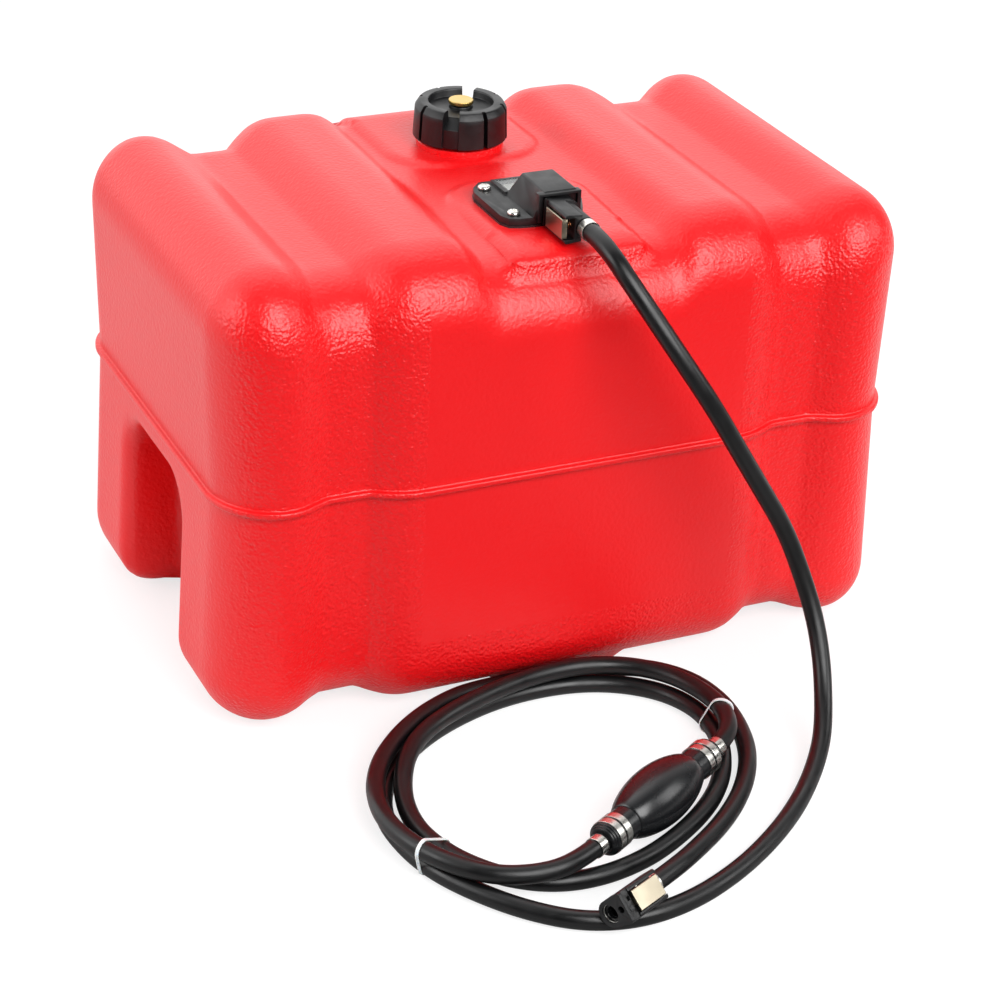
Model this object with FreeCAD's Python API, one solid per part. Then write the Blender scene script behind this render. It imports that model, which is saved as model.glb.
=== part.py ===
import math
import os
import FreeCAD
import Part

os.makedirs("parts", exist_ok=True)
V = FreeCAD.Vector

# Portable outboard fuel tank with hose, primer bulb and quick connectors.
# Millimetres; origin on the ground under the tank's middle, +X along the tank, +Y to the back, +Z up.

# Tank shell
HALF_LENGTH = 270.0
HALF_DEPTH = 174.0
TANK_HEIGHT = 355.0
WALL = 3.5
CORNER_R = 52.0
TOP_R = 50.0
BOTTOM_R = 42.0
GROOVE_X = 177.5
GROOVE_DEPTH_TOP = 17.0
GROOVE_DEPTH_SIDE = 12.8
GROOVE_DEPTH_BOTTOM = 8.0
CHANNEL_DEPTH = 14.0
PLATEAU_TOP = 345.0
BEAD_Z = 184.0
BEAD_TALL = 4.8
BEAD_OUT = 3.8
RECESS_HALF = 62.0
RECESS_TOP = 158.0
RECESS_DEPTH = 48.0

# Filler neck and cap
NECK_Y = 61.4
NECK_TOP = 368.0
NECK_BORE = 22.5
CAP_BOTTOM = 350.0
CAP_TOP = 381.0
CAP_R_LOW = 36.0
CAP_R_HIGH = 34.5
DECK_TOP = 373.5
CAP_RING_R = 26.5
CAP_TURN = -36

# Outlet fitting
OUTLET_Y = -66.0
PLATE_LOW = 346.5
PLATE_TOP = 352.0
SPIGOT_X = 4.5
SPIGOT_Z = 356.8
FRONT_WALL_Y = -109.0
PICKUP_Y = -80.0
SPINDLE_Y = -50.0
GUIDE_Y = -62.0
FLOAT_Y = -56.0

# Quick connector, measured from its mouth
BODY_LENGTH = 38.0
BODY_R = 9.5
BARREL_R = 7.6
SEAT_U = 13.0
SPRING_BORE = 3.9
SOCKET_R = 4.4
GUIDE_R = 2.5
GUIDE_N = 11.5
BALL_R = 3.6
LATCH_U = 20.0
LATCH_N = 12.5

# Hose
HOSE_R = 6.75
HOSE_BORE = 4.0

# Primer bulb
BULB_CENTRE = V(-24.0, -361.5, 23.0)
BULB_ANGLE = 30.4
BULB_R = 21.4
BULB_HALF = 37.5
NECK_R = 12.0
NECK_END = 65.0

# Centre line of the hose from the tank connector to the bulb
SUPPLY = [
    (4.5, -147.0, 356.8), (4.5, -168.0, 356.8), (6.8, -187.0, 350.5), (12.2, -201.5, 338.0),
    (20.3, -210.3, 324.1), (30.9, -225.6, 304.2), (45.8, -237.5, 279.2), (64.0, -244.0, 250.9),
    (85.5, -245.2, 215.6), (108.2, -244.0, 179.9), (130.3, -245.4, 144.0), (143.4, -251.7, 110.2),
    (150.6, -264.7, 79.4), (149.5, -282.6, 52.4), (140.4, -305.4, 30.1), (128.7, -326.4, 17.5),
    (115.3, -343.5, 10.9), (95.9, -364.7, 6.8), (68.3, -391.5, 6.8), (34.5, -417.5, 6.8),
    (-3.8, -440.6, 6.8), (-46.6, -458.1, 6.8), (-88.1, -463.0, 6.8), (-124.0, -452.9, 6.8),
    (-152.8, -429.9, 7.3), (-176.2, -400.4, 7.9), (-193.6, -367.0, 7.6), (-201.5, -330.6, 6.8),
    (-201.0, -293.0, 6.8), (-185.0, -259.0, 6.8), (-161.0, -233.0, 6.8), (-134.0, -213.0, 6.8),
    (-103.0, -198.0, 6.8), (-69.1, -187.2, 6.8), (-32.0, -183.5, 6.8), (3.9, -187.5, 6.8),
    (34.5, -201.5, 6.8), (57.5, -225.7, 7.6), (68.0, -257.9, 7.9), (64.0, -291.0, 7.3),
    (51.5, -320.5, 6.8), (33.0, -347.0, 6.8), (9.0, -369.5, 6.8), (-20.0, -388.5, 6.8),
    (-53.0, -404.5, 6.8), (-89.4, -412.2, 6.8), (-122.1, -408.5, 6.8), (-149.5, -393.0, 7.4),
    (-169.0, -370.0, 7.9), (-181.0, -342.0, 7.4), (-185.0, -311.4, 6.8), (-181.2, -281.8, 10.5),
    (-169.0, -255.5, 18.7), (-150.0, -233.5, 20.9), (-126.0, -216.5, 20.9), (-97.0, -203.0, 20.9),
    (-64.0, -192.0, 20.9), (-29.0, -185.0, 20.9), (5.0, -185.5, 20.9), (36.0, -197.0, 20.9),
    (58.5, -219.5, 21.6), (70.0, -248.0, 22.2), (72.5, -276.0, 23.2), (66.5, -299.5, 23.2),
    (51.902, -316.968, 23.0), (36.377, -326.077, 23.0)]

# Centre line of the hose from the bulb to the engine connector
ENGINE = [
    (-84.377, -396.923, 23.0), (-108.528, -411.092, 23.0), (-137.0, -414.0, 22.0), (-167.0, -403.5, 21.4),
    (-189.0, -381.0, 21.9), (-203.0, -353.0, 21.4), (-209.4, -321.0, 20.7), (-204.7, -288.2, 20.7),
    (-190.3, -257.5, 20.7), (-166.9, -229.8, 20.4), (-135.8, -203.6, 18.3), (-100.2, -181.6, 13.8),
    (-71.0, -171.5, 9.4), (-38.0, -168.3, 7.2), (-4.0, -168.0, 6.8), (31.0, -172.5, 6.8),
    (62.0, -187.0, 6.8), (81.6, -213.3, 7.6), (88.8, -245.4, 7.9), (86.3, -278.0, 7.3),
    (77.0, -309.6, 6.8), (61.2, -338.0, 6.8), (39.3, -364.8, 7.3), (10.8, -391.4, 9.8),
    (-22.0, -417.5, 15.6), (-51.822, -439.495, 21.4), (-79.802, -452.841, 21.4)]


def box(x0, x1, y0, y1, z0, z1):
    return Part.makeBox(x1 - x0, y1 - y0, z1 - z0, V(x0, y0, z0))


def rod(r, low, high, x, y):
    return Part.makeCylinder(r, high - low, V(x, y, low))


def ring(r_out, r_in, low, high, x, y):
    return rod(r_out, low, high, x, y).cut(rod(r_in, low - 1, high + 1, x, y))


def fuse(shapes):
    whole = shapes[0]
    for shape in shapes[1:]:
        whole = whole.fuse(shape)
    return whole.removeSplitter()


def rounded_wire(points, radii, place):
    """Closed outline of straight sides with a tangent arc at each corner that has a radius."""
    count = len(points)
    edges = []
    starts = []
    ends = []
    arcs = []
    for i in range(count):
        px, py = points[i]
        ax, ay = points[i - 1]
        bx, by = points[(i + 1) % count]
        la = math.hypot(ax - px, ay - py)
        lb = math.hypot(bx - px, by - py)
        ua = ((ax - px) / la, (ay - py) / la)
        ub = ((bx - px) / lb, (by - py) / lb)
        if radii[i] <= 0:
            starts.append((px, py))
            ends.append((px, py))
            arcs.append(None)
            continue
        half = math.acos(max(-1.0, min(1.0, ua[0] * ub[0] + ua[1] * ub[1]))) / 2
        back = radii[i] / math.tan(half)
        starts.append((px + ua[0] * back, py + ua[1] * back))
        ends.append((px + ub[0] * back, py + ub[1] * back))
        mx, my = ua[0] + ub[0], ua[1] + ub[1]
        size = math.hypot(mx, my)
        reach = radii[i] / math.sin(half) - radii[i]
        arcs.append((px + mx / size * reach, py + my / size * reach))
    for i in range(count):
        if arcs[i]:
            edges.append(Part.Arc(place(*starts[i]), place(*arcs[i]), place(*ends[i])).toShape())
        nxt = (i + 1) % count
        edges.append(Part.LineSegment(place(*ends[i]), place(*starts[nxt])).toShape())
    return Part.Wire(edges)


def prism(points, radii, low, high):
    wire = rounded_wire(points, radii, lambda x, y: V(x, y, low))
    return Part.Face(wire).extrude(V(0, 0, high - low))


# ---------------------------------------------------------------- tank shell

def envelope(inset):
    a = HALF_LENGTH - inset
    b = HALF_DEPTH - inset
    block = box(-a, a, -b, b, inset, TANK_HEIGHT - inset)
    upright = [e for e in block.Edges if abs(e.tangentAt(0).z) > 0.9]
    block = block.makeFillet(CORNER_R - inset, upright)
    top = [e for e in block.Edges if e.BoundBox.ZMin > TANK_HEIGHT - inset - 0.01]
    block = block.makeFillet(TOP_R - inset, top)
    bottom = [e for e in block.Edges if e.BoundBox.ZMax < inset + 0.01]
    return block.makeFillet(BOTTOM_R - inset, bottom)


def section(x, half, low, high, r_low, r_high):
    points = [(-half, low), (half, low), (half, high), (-half, high)]
    return rounded_wire(points, [r_low, r_low, r_high, r_high], lambda y, z: V(x, y, z))


# Depth share of a groove at each offset from its middle
GROOVE_STEPS = [(-46, -0.05), (-40, 0.06), (-30, 0.32), (-22, 0.72), (-17.5, 1), (17.5, 1), (22, 0.72),
                (30, 0.32), (40, 0.06), (46, -0.05)]
CHANNEL_STEPS = [(-96, -0.05), (-90, 0.15), (-84, 0.6), (-77, 1), (77, 1), (84, 0.6), (90, 0.15), (96, -0.05)]


def groove_cutter(middle, inset):
    b = HALF_DEPTH - inset
    wires = []
    for offset, share in GROOVE_STEPS:
        half = b - share * GROOVE_DEPTH_SIDE
        low = inset + share * GROOVE_DEPTH_BOTTOM
        high = TANK_HEIGHT - inset - share * GROOVE_DEPTH_TOP
        wires.append(section(middle + offset, half, low, high, BOTTOM_R - inset, TOP_R - inset))
    plug = Part.makeLoft(wires, True, True)
    slab = box(middle - 46, middle + 46, -b - 20, b + 20, inset - 20, TANK_HEIGHT + 20)
    return slab.cut(plug)


def channel_cutter(inset):
    b = HALF_DEPTH - inset + 1
    wires = []
    for offset, share in CHANNEL_STEPS:
        high = TANK_HEIGHT - inset - share * CHANNEL_DEPTH
        wires.append(section(offset, b, -1, high, 0, TOP_R - inset))
    plug = Part.makeLoft(wires, True, True)
    slab = box(-96, 96, -b - 20, b + 20, 200, TANK_HEIGHT + 20)
    return slab.cut(plug)


def moulding(inset):
    shape = envelope(inset)
    for cutter in (groove_cutter(-GROOVE_X, inset), groove_cutter(GROOVE_X, inset), channel_cutter(inset)):
        shape = shape.cut(cutter)
    return shape


def plateau(points, radii):
    profile = section(-80, HALF_DEPTH, 300, PLATEAU_TOP, 0, TOP_R - 6)
    lid = Part.Face(profile).extrude(V(160, 0, 0))
    foot = rounded_wire(points, radii, lambda x, y: V(x, y, 330))
    block = Part.Face(foot).extrude(V(0, 0, 40)).common(lid)
    top = [e for e in block.Edges if e.BoundBox.ZMin > PLATEAU_TOP - 0.01]
    return block.makeFillet(3.0, top)


def recess(side, grow):
    w = RECESS_HALF + grow
    top = RECESS_TOP + grow
    steps = [(270, 12), (266.5, 6), (262, 2.5), (256, 0), (234, 0), (228, -2.5), (224, -6.5), (222, -12)]
    if grow:
        steps = [(271, 12), (266.5, 6), (262, 2.5), (256, 0), (234 - grow, 0), (222 - grow, -4)]
    wires = []
    for x, e in steps:
        ww = w + e
        points = [(-ww - 16, -1), (-ww - 4, 6), (-ww, 20), (-ww, top + e), (ww, top + e), (ww, 20),
                  (ww + 4, 6), (ww + 16, -1)]
        radii = [0, 6, 10, 30 + e, 30 + e, 10, 6, 0]
        wires.append(rounded_wire(points, radii, lambda y, z: V(side * x, y, z)))
    hollow = Part.makeLoft(wires, True, True)
    cap = Part.Face(wires[0]).extrude(V(side * 8, 0, 0))
    return hollow.fuse(cap)


outer = moulding(0)

# Parting-line bead: a thin slice of the same moulding grown outwards
slice_box = box(-290, 290, -190, 190, BEAD_Z - BEAD_TALL / 2, BEAD_Z + BEAD_TALL / 2)
outer = outer.fuse(moulding(-BEAD_OUT).common(slice_box))

filler_pad = plateau([(-61, 25), (61, 25), (61, 174), (-61, 174)], [38, 38, 0, 0])
outlet_pad = plateau([(-53, -153), (53, -153), (53, -12), (-53, -12)], [8, 8, 38, 38])
outer = outer.fuse(filler_pad).fuse(outlet_pad)

# Filler neck with its collar and thread
neck = rod(26.2, 330, NECK_TOP, 0, NECK_Y)
collar = rod(33, 330, 349.5, 0, NECK_Y)
threads = []
for z in (353.0, 357.5, 362.0):
    low = Part.makeCone(26.0, 27.6, 1.2, V(0, NECK_Y, z))
    mid = rod(27.6, z + 1.2, z + 1.8, 0, NECK_Y)
    high = Part.makeCone(27.6, 26.0, 1.2, V(0, NECK_Y, z + 1.8))
    threads.extend([low, mid, high])
outer = outer.fuse([neck, collar] + threads)
outer = outer.cut(recess(-1, 0)).cut(recess(1, 0))

void = moulding(WALL).cut(recess(-1, WALL)).cut(recess(1, WALL))
shell = outer.cut(void)
shell = shell.cut(rod(NECK_BORE, 300, NECK_TOP + 1, 0, NECK_Y))
shell = shell.cut(rod(24.8, NECK_TOP - 1, NECK_TOP + 1, 0, NECK_Y))
shell = shell.cut(rod(25.5, 300, 350, 0, OUTLET_Y))
SCREWS = [(-28, -46.5), (25.5, -46.5), (-28, -97.5), (26.5, -77)]
for x, y in SCREWS:
    shell = shell.cut(rod(2.2, 339.5, 350, x, y))
parts = {"tank_shell": shell}

# ---------------------------------------------------------------- filler neck parts

basket = ring(21.5, 20.7, 322, 367.2, 0, NECK_Y).fuse(rod(21.5, 321.2, 322, 0, NECK_Y))
basket = basket.fuse(ring(24.5, 20.7, 367.2, NECK_TOP, 0, NECK_Y))
slots = []
for i in range(12):
    for z in (327, 337, 347):
        slot = box(15, 25, -2, 2, z, z + 7)
        slot.rotate(V(0, 0, 0), V(0, 0, 1), i * 30)
        slot.translate(V(0, NECK_Y, 0))
        slots.append(slot)
parts["flame_screen"] = basket.cut(slots)

parts["cap_gasket"] = ring(27.5, 22, NECK_TOP, 370, 0, NECK_Y)

cap = Part.makeCone(CAP_R_LOW, CAP_R_HIGH, CAP_TOP - CAP_BOTTOM, V(0, NECK_Y, CAP_BOTTOM))
cap = cap.makeFillet(1.2, [e for e in cap.Edges if e.BoundBox.ZMin > CAP_TOP - 0.01])
cap = cap.cut(rod(28.4, CAP_BOTTOM - 1, 370, 0, NECK_Y))
cap = cap.cut(rod(CAP_RING_R, DECK_TOP, CAP_TOP + 1, 0, NECK_Y))
cuts = []
for i in range(8):
    angle = i * 45
    if angle in (90, 270):
        cut = box(24, 40, -6, 6, DECK_TOP, CAP_TOP + 1)
    else:
        cut = box(30.5, 40, -1.6, 1.6, CAP_BOTTOM - 1, CAP_TOP + 1)
    cut.rotate(V(0, 0, 0), V(0, 0, 1), angle + CAP_TURN)
    cut.translate(V(0, NECK_Y, 0))
    cuts.append(cut)
cap = cap.cut(cuts)
cap = cap.fuse(rod(9, 373, 376, 0, NECK_Y))
parts["filler_cap"] = cap.cut(rod(6, 360, 380, 0, NECK_Y))
parts["cap_vent_bush"] = ring(6, 2.5, 367, 376, 0, NECK_Y)
parts["vent_seal"] = Part.makeTorus(3.5, 0.8, V(0, NECK_Y, 376.8))
head = rod(9.4, 377.6, 380.6, 0, NECK_Y)
knurls = []
for i in range(36):
    nick = box(9.15, 10, -0.25, 0.25, 377, 381)
    nick.rotate(V(0, 0, 0), V(0, 0, 1), i * 10)
    nick.translate(V(0, NECK_Y, 0))
    knurls.append(nick)
head = head.cut(knurls).fuse(rod(2.4, 366, 378, 0, NECK_Y))
parts["vent_screw"] = head

# ---------------------------------------------------------------- outlet fitting

PLATE = [(-27, -34), (-35, -42.5), (-38, -52), (-38, -97), (-34.5, -104.5), (-27.4, -107), (-16, -108.6),
         (16, -108.6), (21.5, -107), (24.5, -102), (31.5, -86), (32, -76), (32, -52), (30.5, -42.5), (26, -34)]
plate_wire = Part.makePolygon([V(x, y, PLATE_LOW) for x, y in PLATE + PLATE[:1]])
plate = Part.Face(plate_wire).extrude(V(0, 0, PLATE_TOP - PLATE_LOW))
boss = rod(24, 337, PLATE_LOW, 0, OUTLET_Y)
frame = box(-19, 19, -62, -37, PLATE_TOP, 354.2)
foot = Part.makePolygon([V(-18, -61, 352), V(20, -61, 352), V(20, -109, 352), V(-18, -109, 352), V(-18, -61, 352)])
crown = Part.makePolygon([V(-10, -70, 371), V(15, -70, 371), V(15, -109, 371), V(-10, -109, 371),
                          V(-10, -70, 371)])
hood = Part.makeLoft([foot, crown], True, True)
hood = hood.makeFillet(2.0, [e for e in hood.Edges if e.BoundBox.YMax > -108.9 and e.BoundBox.ZMax > 352.1])
lip = box(-15.5, 17.5, -112, FRONT_WALL_Y, 349, 370.2)
lip = lip.cut(box(-12.3, 14.8, -113, FRONT_WALL_Y, 340, 368.3))
bridge = box(-15.5, 17.5, FRONT_WALL_Y, -106, 349, 370.2)
housing = fuse([plate, boss, frame, hood, bridge, lip])
housing = housing.cut(box(-14, 14, -58, -41, 349.3, 360))
housing = housing.cut(box(-15.5, 15.5, -59.5, -39.5, 352.6, 360))
housing = housing.cut(rod(1.8, 330, 352, 0, SPINDLE_Y))
housing = housing.cut(rod(2, 330, 345, 0, GUIDE_Y))
housing = housing.cut(rod(4, 330, 345, SPIGOT_X, PICKUP_Y))
housing = housing.cut(rod(2.6, 330, SPIGOT_Z, SPIGOT_X, PICKUP_Y))
BACK = V(0, 1, 0)
housing = housing.cut(Part.makeCylinder(2.6, 23, V(SPIGOT_X, -103, SPIGOT_Z), BACK))
housing = housing.cut(Part.makeCylinder(6, 6.1, V(SPIGOT_X, FRONT_WALL_Y - 0.1, SPIGOT_Z), BACK))
housing = housing.cut(Part.makeCylinder(2.3, 6.1, V(SPIGOT_X - GUIDE_N, FRONT_WALL_Y - 0.1, SPIGOT_Z), BACK))
for x, y in SCREWS:
    housing = housing.cut(rod(2.5, 340, 360, x, y))
parts["outlet_housing"] = housing

gasket_wire = plate_wire.makeOffset2D(0.5)
gasket = Part.Face(Part.Wire(gasket_wire.Edges)).extrude(V(0, 0, PLATE_LOW - PLATEAU_TOP))
gasket.translate(V(0, 0, PLATEAU_TOP - PLATE_LOW))
gasket = gasket.cut(rod(25, 340, 350, 0, OUTLET_Y))
for x, y in SCREWS:
    gasket = gasket.cut(rod(2.5, 340, 360, x, y))
parts["outlet_gasket"] = gasket

screws = []
for x, y in SCREWS:
    pan = rod(4.8, PLATE_TOP, 355.2, x, y)
    pan = pan.makeFillet(1.6, [e for e in pan.Edges if e.BoundBox.ZMin > 355.1])
    slot = box(x - 2.6, x + 2.6, y - 0.6, y + 0.6, 353.6, 356)
    cross = box(x - 0.6, x + 0.6, y - 2.6, y + 2.6, 353.6, 356)
    screws.append(pan.cut([slot, cross]).fuse(rod(2.2, 339.5, 352.5, x, y)))
parts["outlet_screws"] = Part.makeCompound(screws)

FORWARD = V(0, -1, 0)
nipple = Part.makeCylinder(6, 6, V(SPIGOT_X, -103, SPIGOT_Z), FORWARD)
nipple = nipple.fuse(Part.makeCylinder(4.3, 9, V(SPIGOT_X, FRONT_WALL_Y, SPIGOT_Z), FORWARD))
nipple = nipple.fuse(Part.makeCylinder(2.2, 5, V(SPIGOT_X, FRONT_WALL_Y - 9, SPIGOT_Z), FORWARD))
nipple = nipple.cut(Part.makeCylinder(1.6, 13, V(SPIGOT_X, -102, SPIGOT_Z), FORWARD))
tip_x = Part.makeCylinder(0.8, 6, V(SPIGOT_X - 3, -121, SPIGOT_Z), V(1, 0, 0))
bore_tip = Part.makeCylinder(1.2, 8, V(SPIGOT_X, -114, SPIGOT_Z), FORWARD)
nipple = nipple.cut([bore_tip, tip_x])
guide = Part.makeCylinder(2.3, 19, V(SPIGOT_X - GUIDE_N, -103, SPIGOT_Z), FORWARD)
slit = Part.makeCylinder(3, 2, V(SPIGOT_X - GUIDE_N, FRONT_WALL_Y - 10.2, SPIGOT_Z), FORWARD)
neckdown = Part.makeCylinder(0.95, 2, V(SPIGOT_X - GUIDE_N, FRONT_WALL_Y - 10.2, SPIGOT_Z), FORWARD)
guide = guide.cut(slit.cut(neckdown))
parts["outlet_nipple"] = Part.makeCompound([nipple, guide])

parts["pickup_tube"] = ring(4, 2.6, 30, 345, SPIGOT_X, PICKUP_Y)
strainer = ring(7.5, 6.7, 8.8, 33.2, SPIGOT_X, PICKUP_Y)
strainer = strainer.fuse(rod(7.5, 8, 8.8, SPIGOT_X, PICKUP_Y))
strainer = strainer.fuse(ring(7.5, 4, 33.2, 34, SPIGOT_X, PICKUP_Y))
windows = []
for i in range(6):
    for z in (11, 18.5, 26):
        window = box(5, 9, -1.8, 1.8, z, z + 5)
        window.rotate(V(0, 0, 0), V(0, 0, 1), i * 60)
        window.translate(V(SPIGOT_X, PICKUP_Y, 0))
        windows.append(window)
parts["pickup_strainer"] = strainer.cut(windows)

parts["gauge_lens"] = box(-15.4, 15.4, -59.4, -39.6, 352.6, 354.0)
parts["gauge_dial"] = box(-13.8, 13.8, -57.8, -41.2, 349.3, 350.1).cut(rod(2, 349, 351, 0, SPINDLE_Y))
pointer = rod(2.4, 350.5, 351.9, 0, SPINDLE_Y).fuse(rod(1.5, 16, 351, 0, SPINDLE_Y))
pointer = pointer.fuse(box(-7.4, 0, SPINDLE_Y - 0.7, SPINDLE_Y + 0.7, 350.7, 351.5))
parts["gauge_pointer"] = pointer
parts["gauge_guide"] = rod(2, 11, 345, 0, GUIDE_Y).fuse(rod(7, 11, 13, 0, GUIDE_Y))
gauge_float = rod(14, 13.5, 35.5, 0, FLOAT_Y)
gauge_float = gauge_float.cut(rod(1.6, 10, 40, 0, SPINDLE_Y)).cut(rod(2.1, 10, 40, 0, GUIDE_Y))
parts["gauge_float"] = gauge_float

# ---------------------------------------------------------------- quick connectors
# Local frame: u from the mouth to the hose, n towards the latch, w across

def along(r, start, length, n=0.0, w=0.0):
    return Part.makeCylinder(r, length, V(start, n, w), V(1, 0, 0))


def brick(u0, u1, n0, n1, w0, w1):
    return Part.makeBox(u1 - u0, n1 - n0, w1 - w0, V(u0, n0, w0))


def coil(radius, wire, length, turns):
    """Coil spring along z, starting at the origin."""
    helix = Part.makeLongHelix(length / turns, length, radius)
    profile = Part.Wire([Part.makeCircle(wire, V(radius, 0, 0), V(0, 1, 0))])
    spring = Part.Wire(helix.Edges).makePipeShell([profile], True, True)
    return spring


def connector(ball_u, length):
    corner = math.acos(BODY_R / math.hypot(16, 11)) + math.atan2(11, 16)
    tn = BODY_R * math.cos(corner)
    tw = BODY_R * math.sin(corner)
    edges = [Part.LineSegment(V(0, 16, -11), V(0, 16, 11)).toShape(),
             Part.LineSegment(V(0, 16, 11), V(0, tn, tw)).toShape(),
             Part.Arc(V(0, tn, tw), V(0, -BODY_R, 0), V(0, tn, -tw)).toShape(),
             Part.LineSegment(V(0, tn, -tw), V(0, 16, -11)).toShape()]
    body = Part.Face(Part.Wire(edges)).extrude(V(length, 0, 0))
    body = body.makeFillet(2.0, [e for e in body.Edges if e.BoundBox.XLength > 30 and e.BoundBox.YMin > 15])
    body = body.cut(brick(3, 9, 14.8, 20, -12, 12))
    body = body.cut(brick(9, 45, 8.3, 20, -8, 8))
    body = body.cut(brick(5.5, 8.5, 12, 20, -5.5, -2.5))
    pip = Part.makeCylinder(2.2, 0.8, V(6.2, 14.4, 2.6), V(0, 1, 0))
    body = body.fuse(pip)
    body = body.cut(along(6.6, -1, 6.5))
    body = body.cut(along(SOCKET_R, 5, 6))
    body = body.cut(along(3.0, 10, 4))
    body = body.cut(along(SPRING_BORE, SEAT_U, 30 - SEAT_U))
    body = body.cut(brick(9, length + 1, -12, 3, -12, 12).cut(along(BARREL_R, 8, length)))
    body = body.cut(along(GUIDE_R, -1, 12, GUIDE_N))
    body = body.cut(Part.makeCylinder(1.3, 20, V(LATCH_U, LATCH_N, -10), V(0, 0, 1)))
    barb = along(HOSE_BORE, length - 1, 10.4)
    body = body.fuse(barb).cut(along(2.5, 29, 30))
    seal = along(6.6, 3, 2.5).cut(along(4.5, 2, 5))
    latch = brick(10, 36, 16.6, 17.8, -7.3, 7.3)
    latch = latch.makeFillet(0.5, [e for e in latch.Edges if e.BoundBox.YMin > 17.7])
    latch = latch.fuse(brick(10, 11.2, 12.6, 17, -2.4, 2.4))
    latch = latch.fuse(brick(35, 36, 13.5, 17, -7.3, 7.3))
    latch = latch.fuse(brick(17, 23, 10.5, 17, 6.1, 7.3)).fuse(brick(17, 23, 10.5, 17, -7.3, -6.1))
    latch = latch.cut(Part.makeCylinder(1.38, 20, V(LATCH_U, LATCH_N, -10), V(0, 0, 1)))
    pin = Part.makeCylinder(1.3, 20, V(LATCH_U, LATCH_N, -10), V(0, 0, 1))
    latch_spring = coil(2.6, 0.35, 7.5, 5)
    latch_spring.rotate(V(0, 0, 0), V(1, 0, 0), -90)
    latch_spring.translate(V(29, 8.7, 0))
    ball = Part.makeSphere(BALL_R, V(ball_u, 0, 0))
    ball_spring = coil(3.1, 0.35, 27.0 - ball_u, 4)
    ball_spring.rotate(V(0, 0, 0), V(0, 1, 0), 90)
    ball_spring.translate(V(ball_u + 2.5, 0, 0))
    return {"body": body, "seal": seal, "latch": latch, "latch_pin": pin, "latch_spring": latch_spring,
            "ball": ball, "ball_spring": ball_spring}


def place(shape, origin, u, n):
    w = u.cross(n)
    matrix = FreeCAD.Matrix(u.x, n.x, w.x, origin.x, u.y, n.y, w.y, origin.y, u.z, n.z, w.z, origin.z, 0, 0, 0, 1)
    moved = shape.copy()
    moved.transformShape(matrix)
    return moved


TANK_U = V(0, -1, 0)
TANK_N = V(-1, 0, 0)
TANK_MOUTH = V(SPIGOT_X, -109.2, SPIGOT_Z)
turn = math.radians(25.5)
roll = math.radians(47.0)
ENGINE_U = V(math.cos(turn), math.sin(turn), 0)
ENGINE_N = V(math.sin(roll) * math.sin(turn), -math.sin(roll) * math.cos(turn), math.cos(roll))
ENGINE_MOUTH = V(-114.1, -469.2, 21.4)
for name, shape in connector(17.7, BODY_LENGTH - 0.2).items():
    parts["tank_connector_" + name] = place(shape, TANK_MOUTH, TANK_U, TANK_N)
for name, shape in connector(15.0, BODY_LENGTH).items():
    parts["engine_connector_" + name] = place(shape, ENGINE_MOUTH, ENGINE_U, ENGINE_N)

# ---------------------------------------------------------------- hose

def centre_line(points):
    """Straight runs joined by tangent arcs; also returns the arcs' radii and the line's length."""
    pts = [V(*p) for p in points]
    edges = []
    radii = []
    here = pts[0]
    for i in range(1, len(pts) - 1):
        back = pts[i - 1] - pts[i]
        ahead = pts[i + 1] - pts[i]
        reach = 0.45 * min(back.Length, ahead.Length)
        back.normalize()
        ahead.normalize()
        bend = math.pi - back.getAngle(ahead)
        radius = reach / math.tan(bend / 2)
        start = pts[i] + back * reach
        end = pts[i] + ahead * reach
        middle = (back + ahead).normalize()
        crest = pts[i] + middle * (radius / math.cos(bend / 2) - radius)
        edges.append(Part.LineSegment(here, start).toShape())
        edges.append(Part.Arc(start, crest, end).toShape())
        radii.append(radius)
        here = end
    edges.append(Part.LineSegment(here, pts[-1]).toShape())
    wire = Part.Wire(edges)
    return wire, radii, wire.Length


def hose(points, name):
    wire, radii, length = centre_line(points)
    start = V(*points[0])
    direction = V(*points[1]) - start
    outside = Part.Wire([Part.makeCircle(HOSE_R, start, direction)])
    inside = Part.Wire([Part.makeCircle(HOSE_BORE, start, direction)])
    skin = wire.makePipeShell([outside], True, False)
    core = wire.makePipeShell([inside], True, False)
    tube = skin.cut(core)
    area = math.pi * (HOSE_R ** 2 - HOSE_BORE ** 2)
    print(name, "length %.0f mm" % length, "radii %.0f to %.0f mm" % (min(radii), max(radii)),
          "volume %.0f, section x length %.0f mm3" % (tube.Volume, area * length))
    return tube


parts["supply_hose"] = hose(SUPPLY, "supply_hose")
parts["engine_hose"] = hose(ENGINE, "engine_hose")

# ---------------------------------------------------------------- primer bulb

beta = math.radians(BULB_ANGLE)
AXIS = V(math.cos(beta), math.sin(beta), 0)


def on_axis(s):
    return BULB_CENTRE + AXIS * s


def turned(profile):
    """Solid of revolution about the bulb's axis from (s, r) points."""
    side = V(0, 0, 1)
    points = [on_axis(s) + side * r for s, r in profile]
    face = Part.Face(Part.makePolygon(points + points[:1]))
    return face.revolve(BULB_CENTRE, AXIS, 360)


def swell(s, r_mid, r_neck, half):
    return r_neck + (r_mid - r_neck) * math.sqrt(max(0.0, 1 - (s / half) ** 2))


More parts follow.
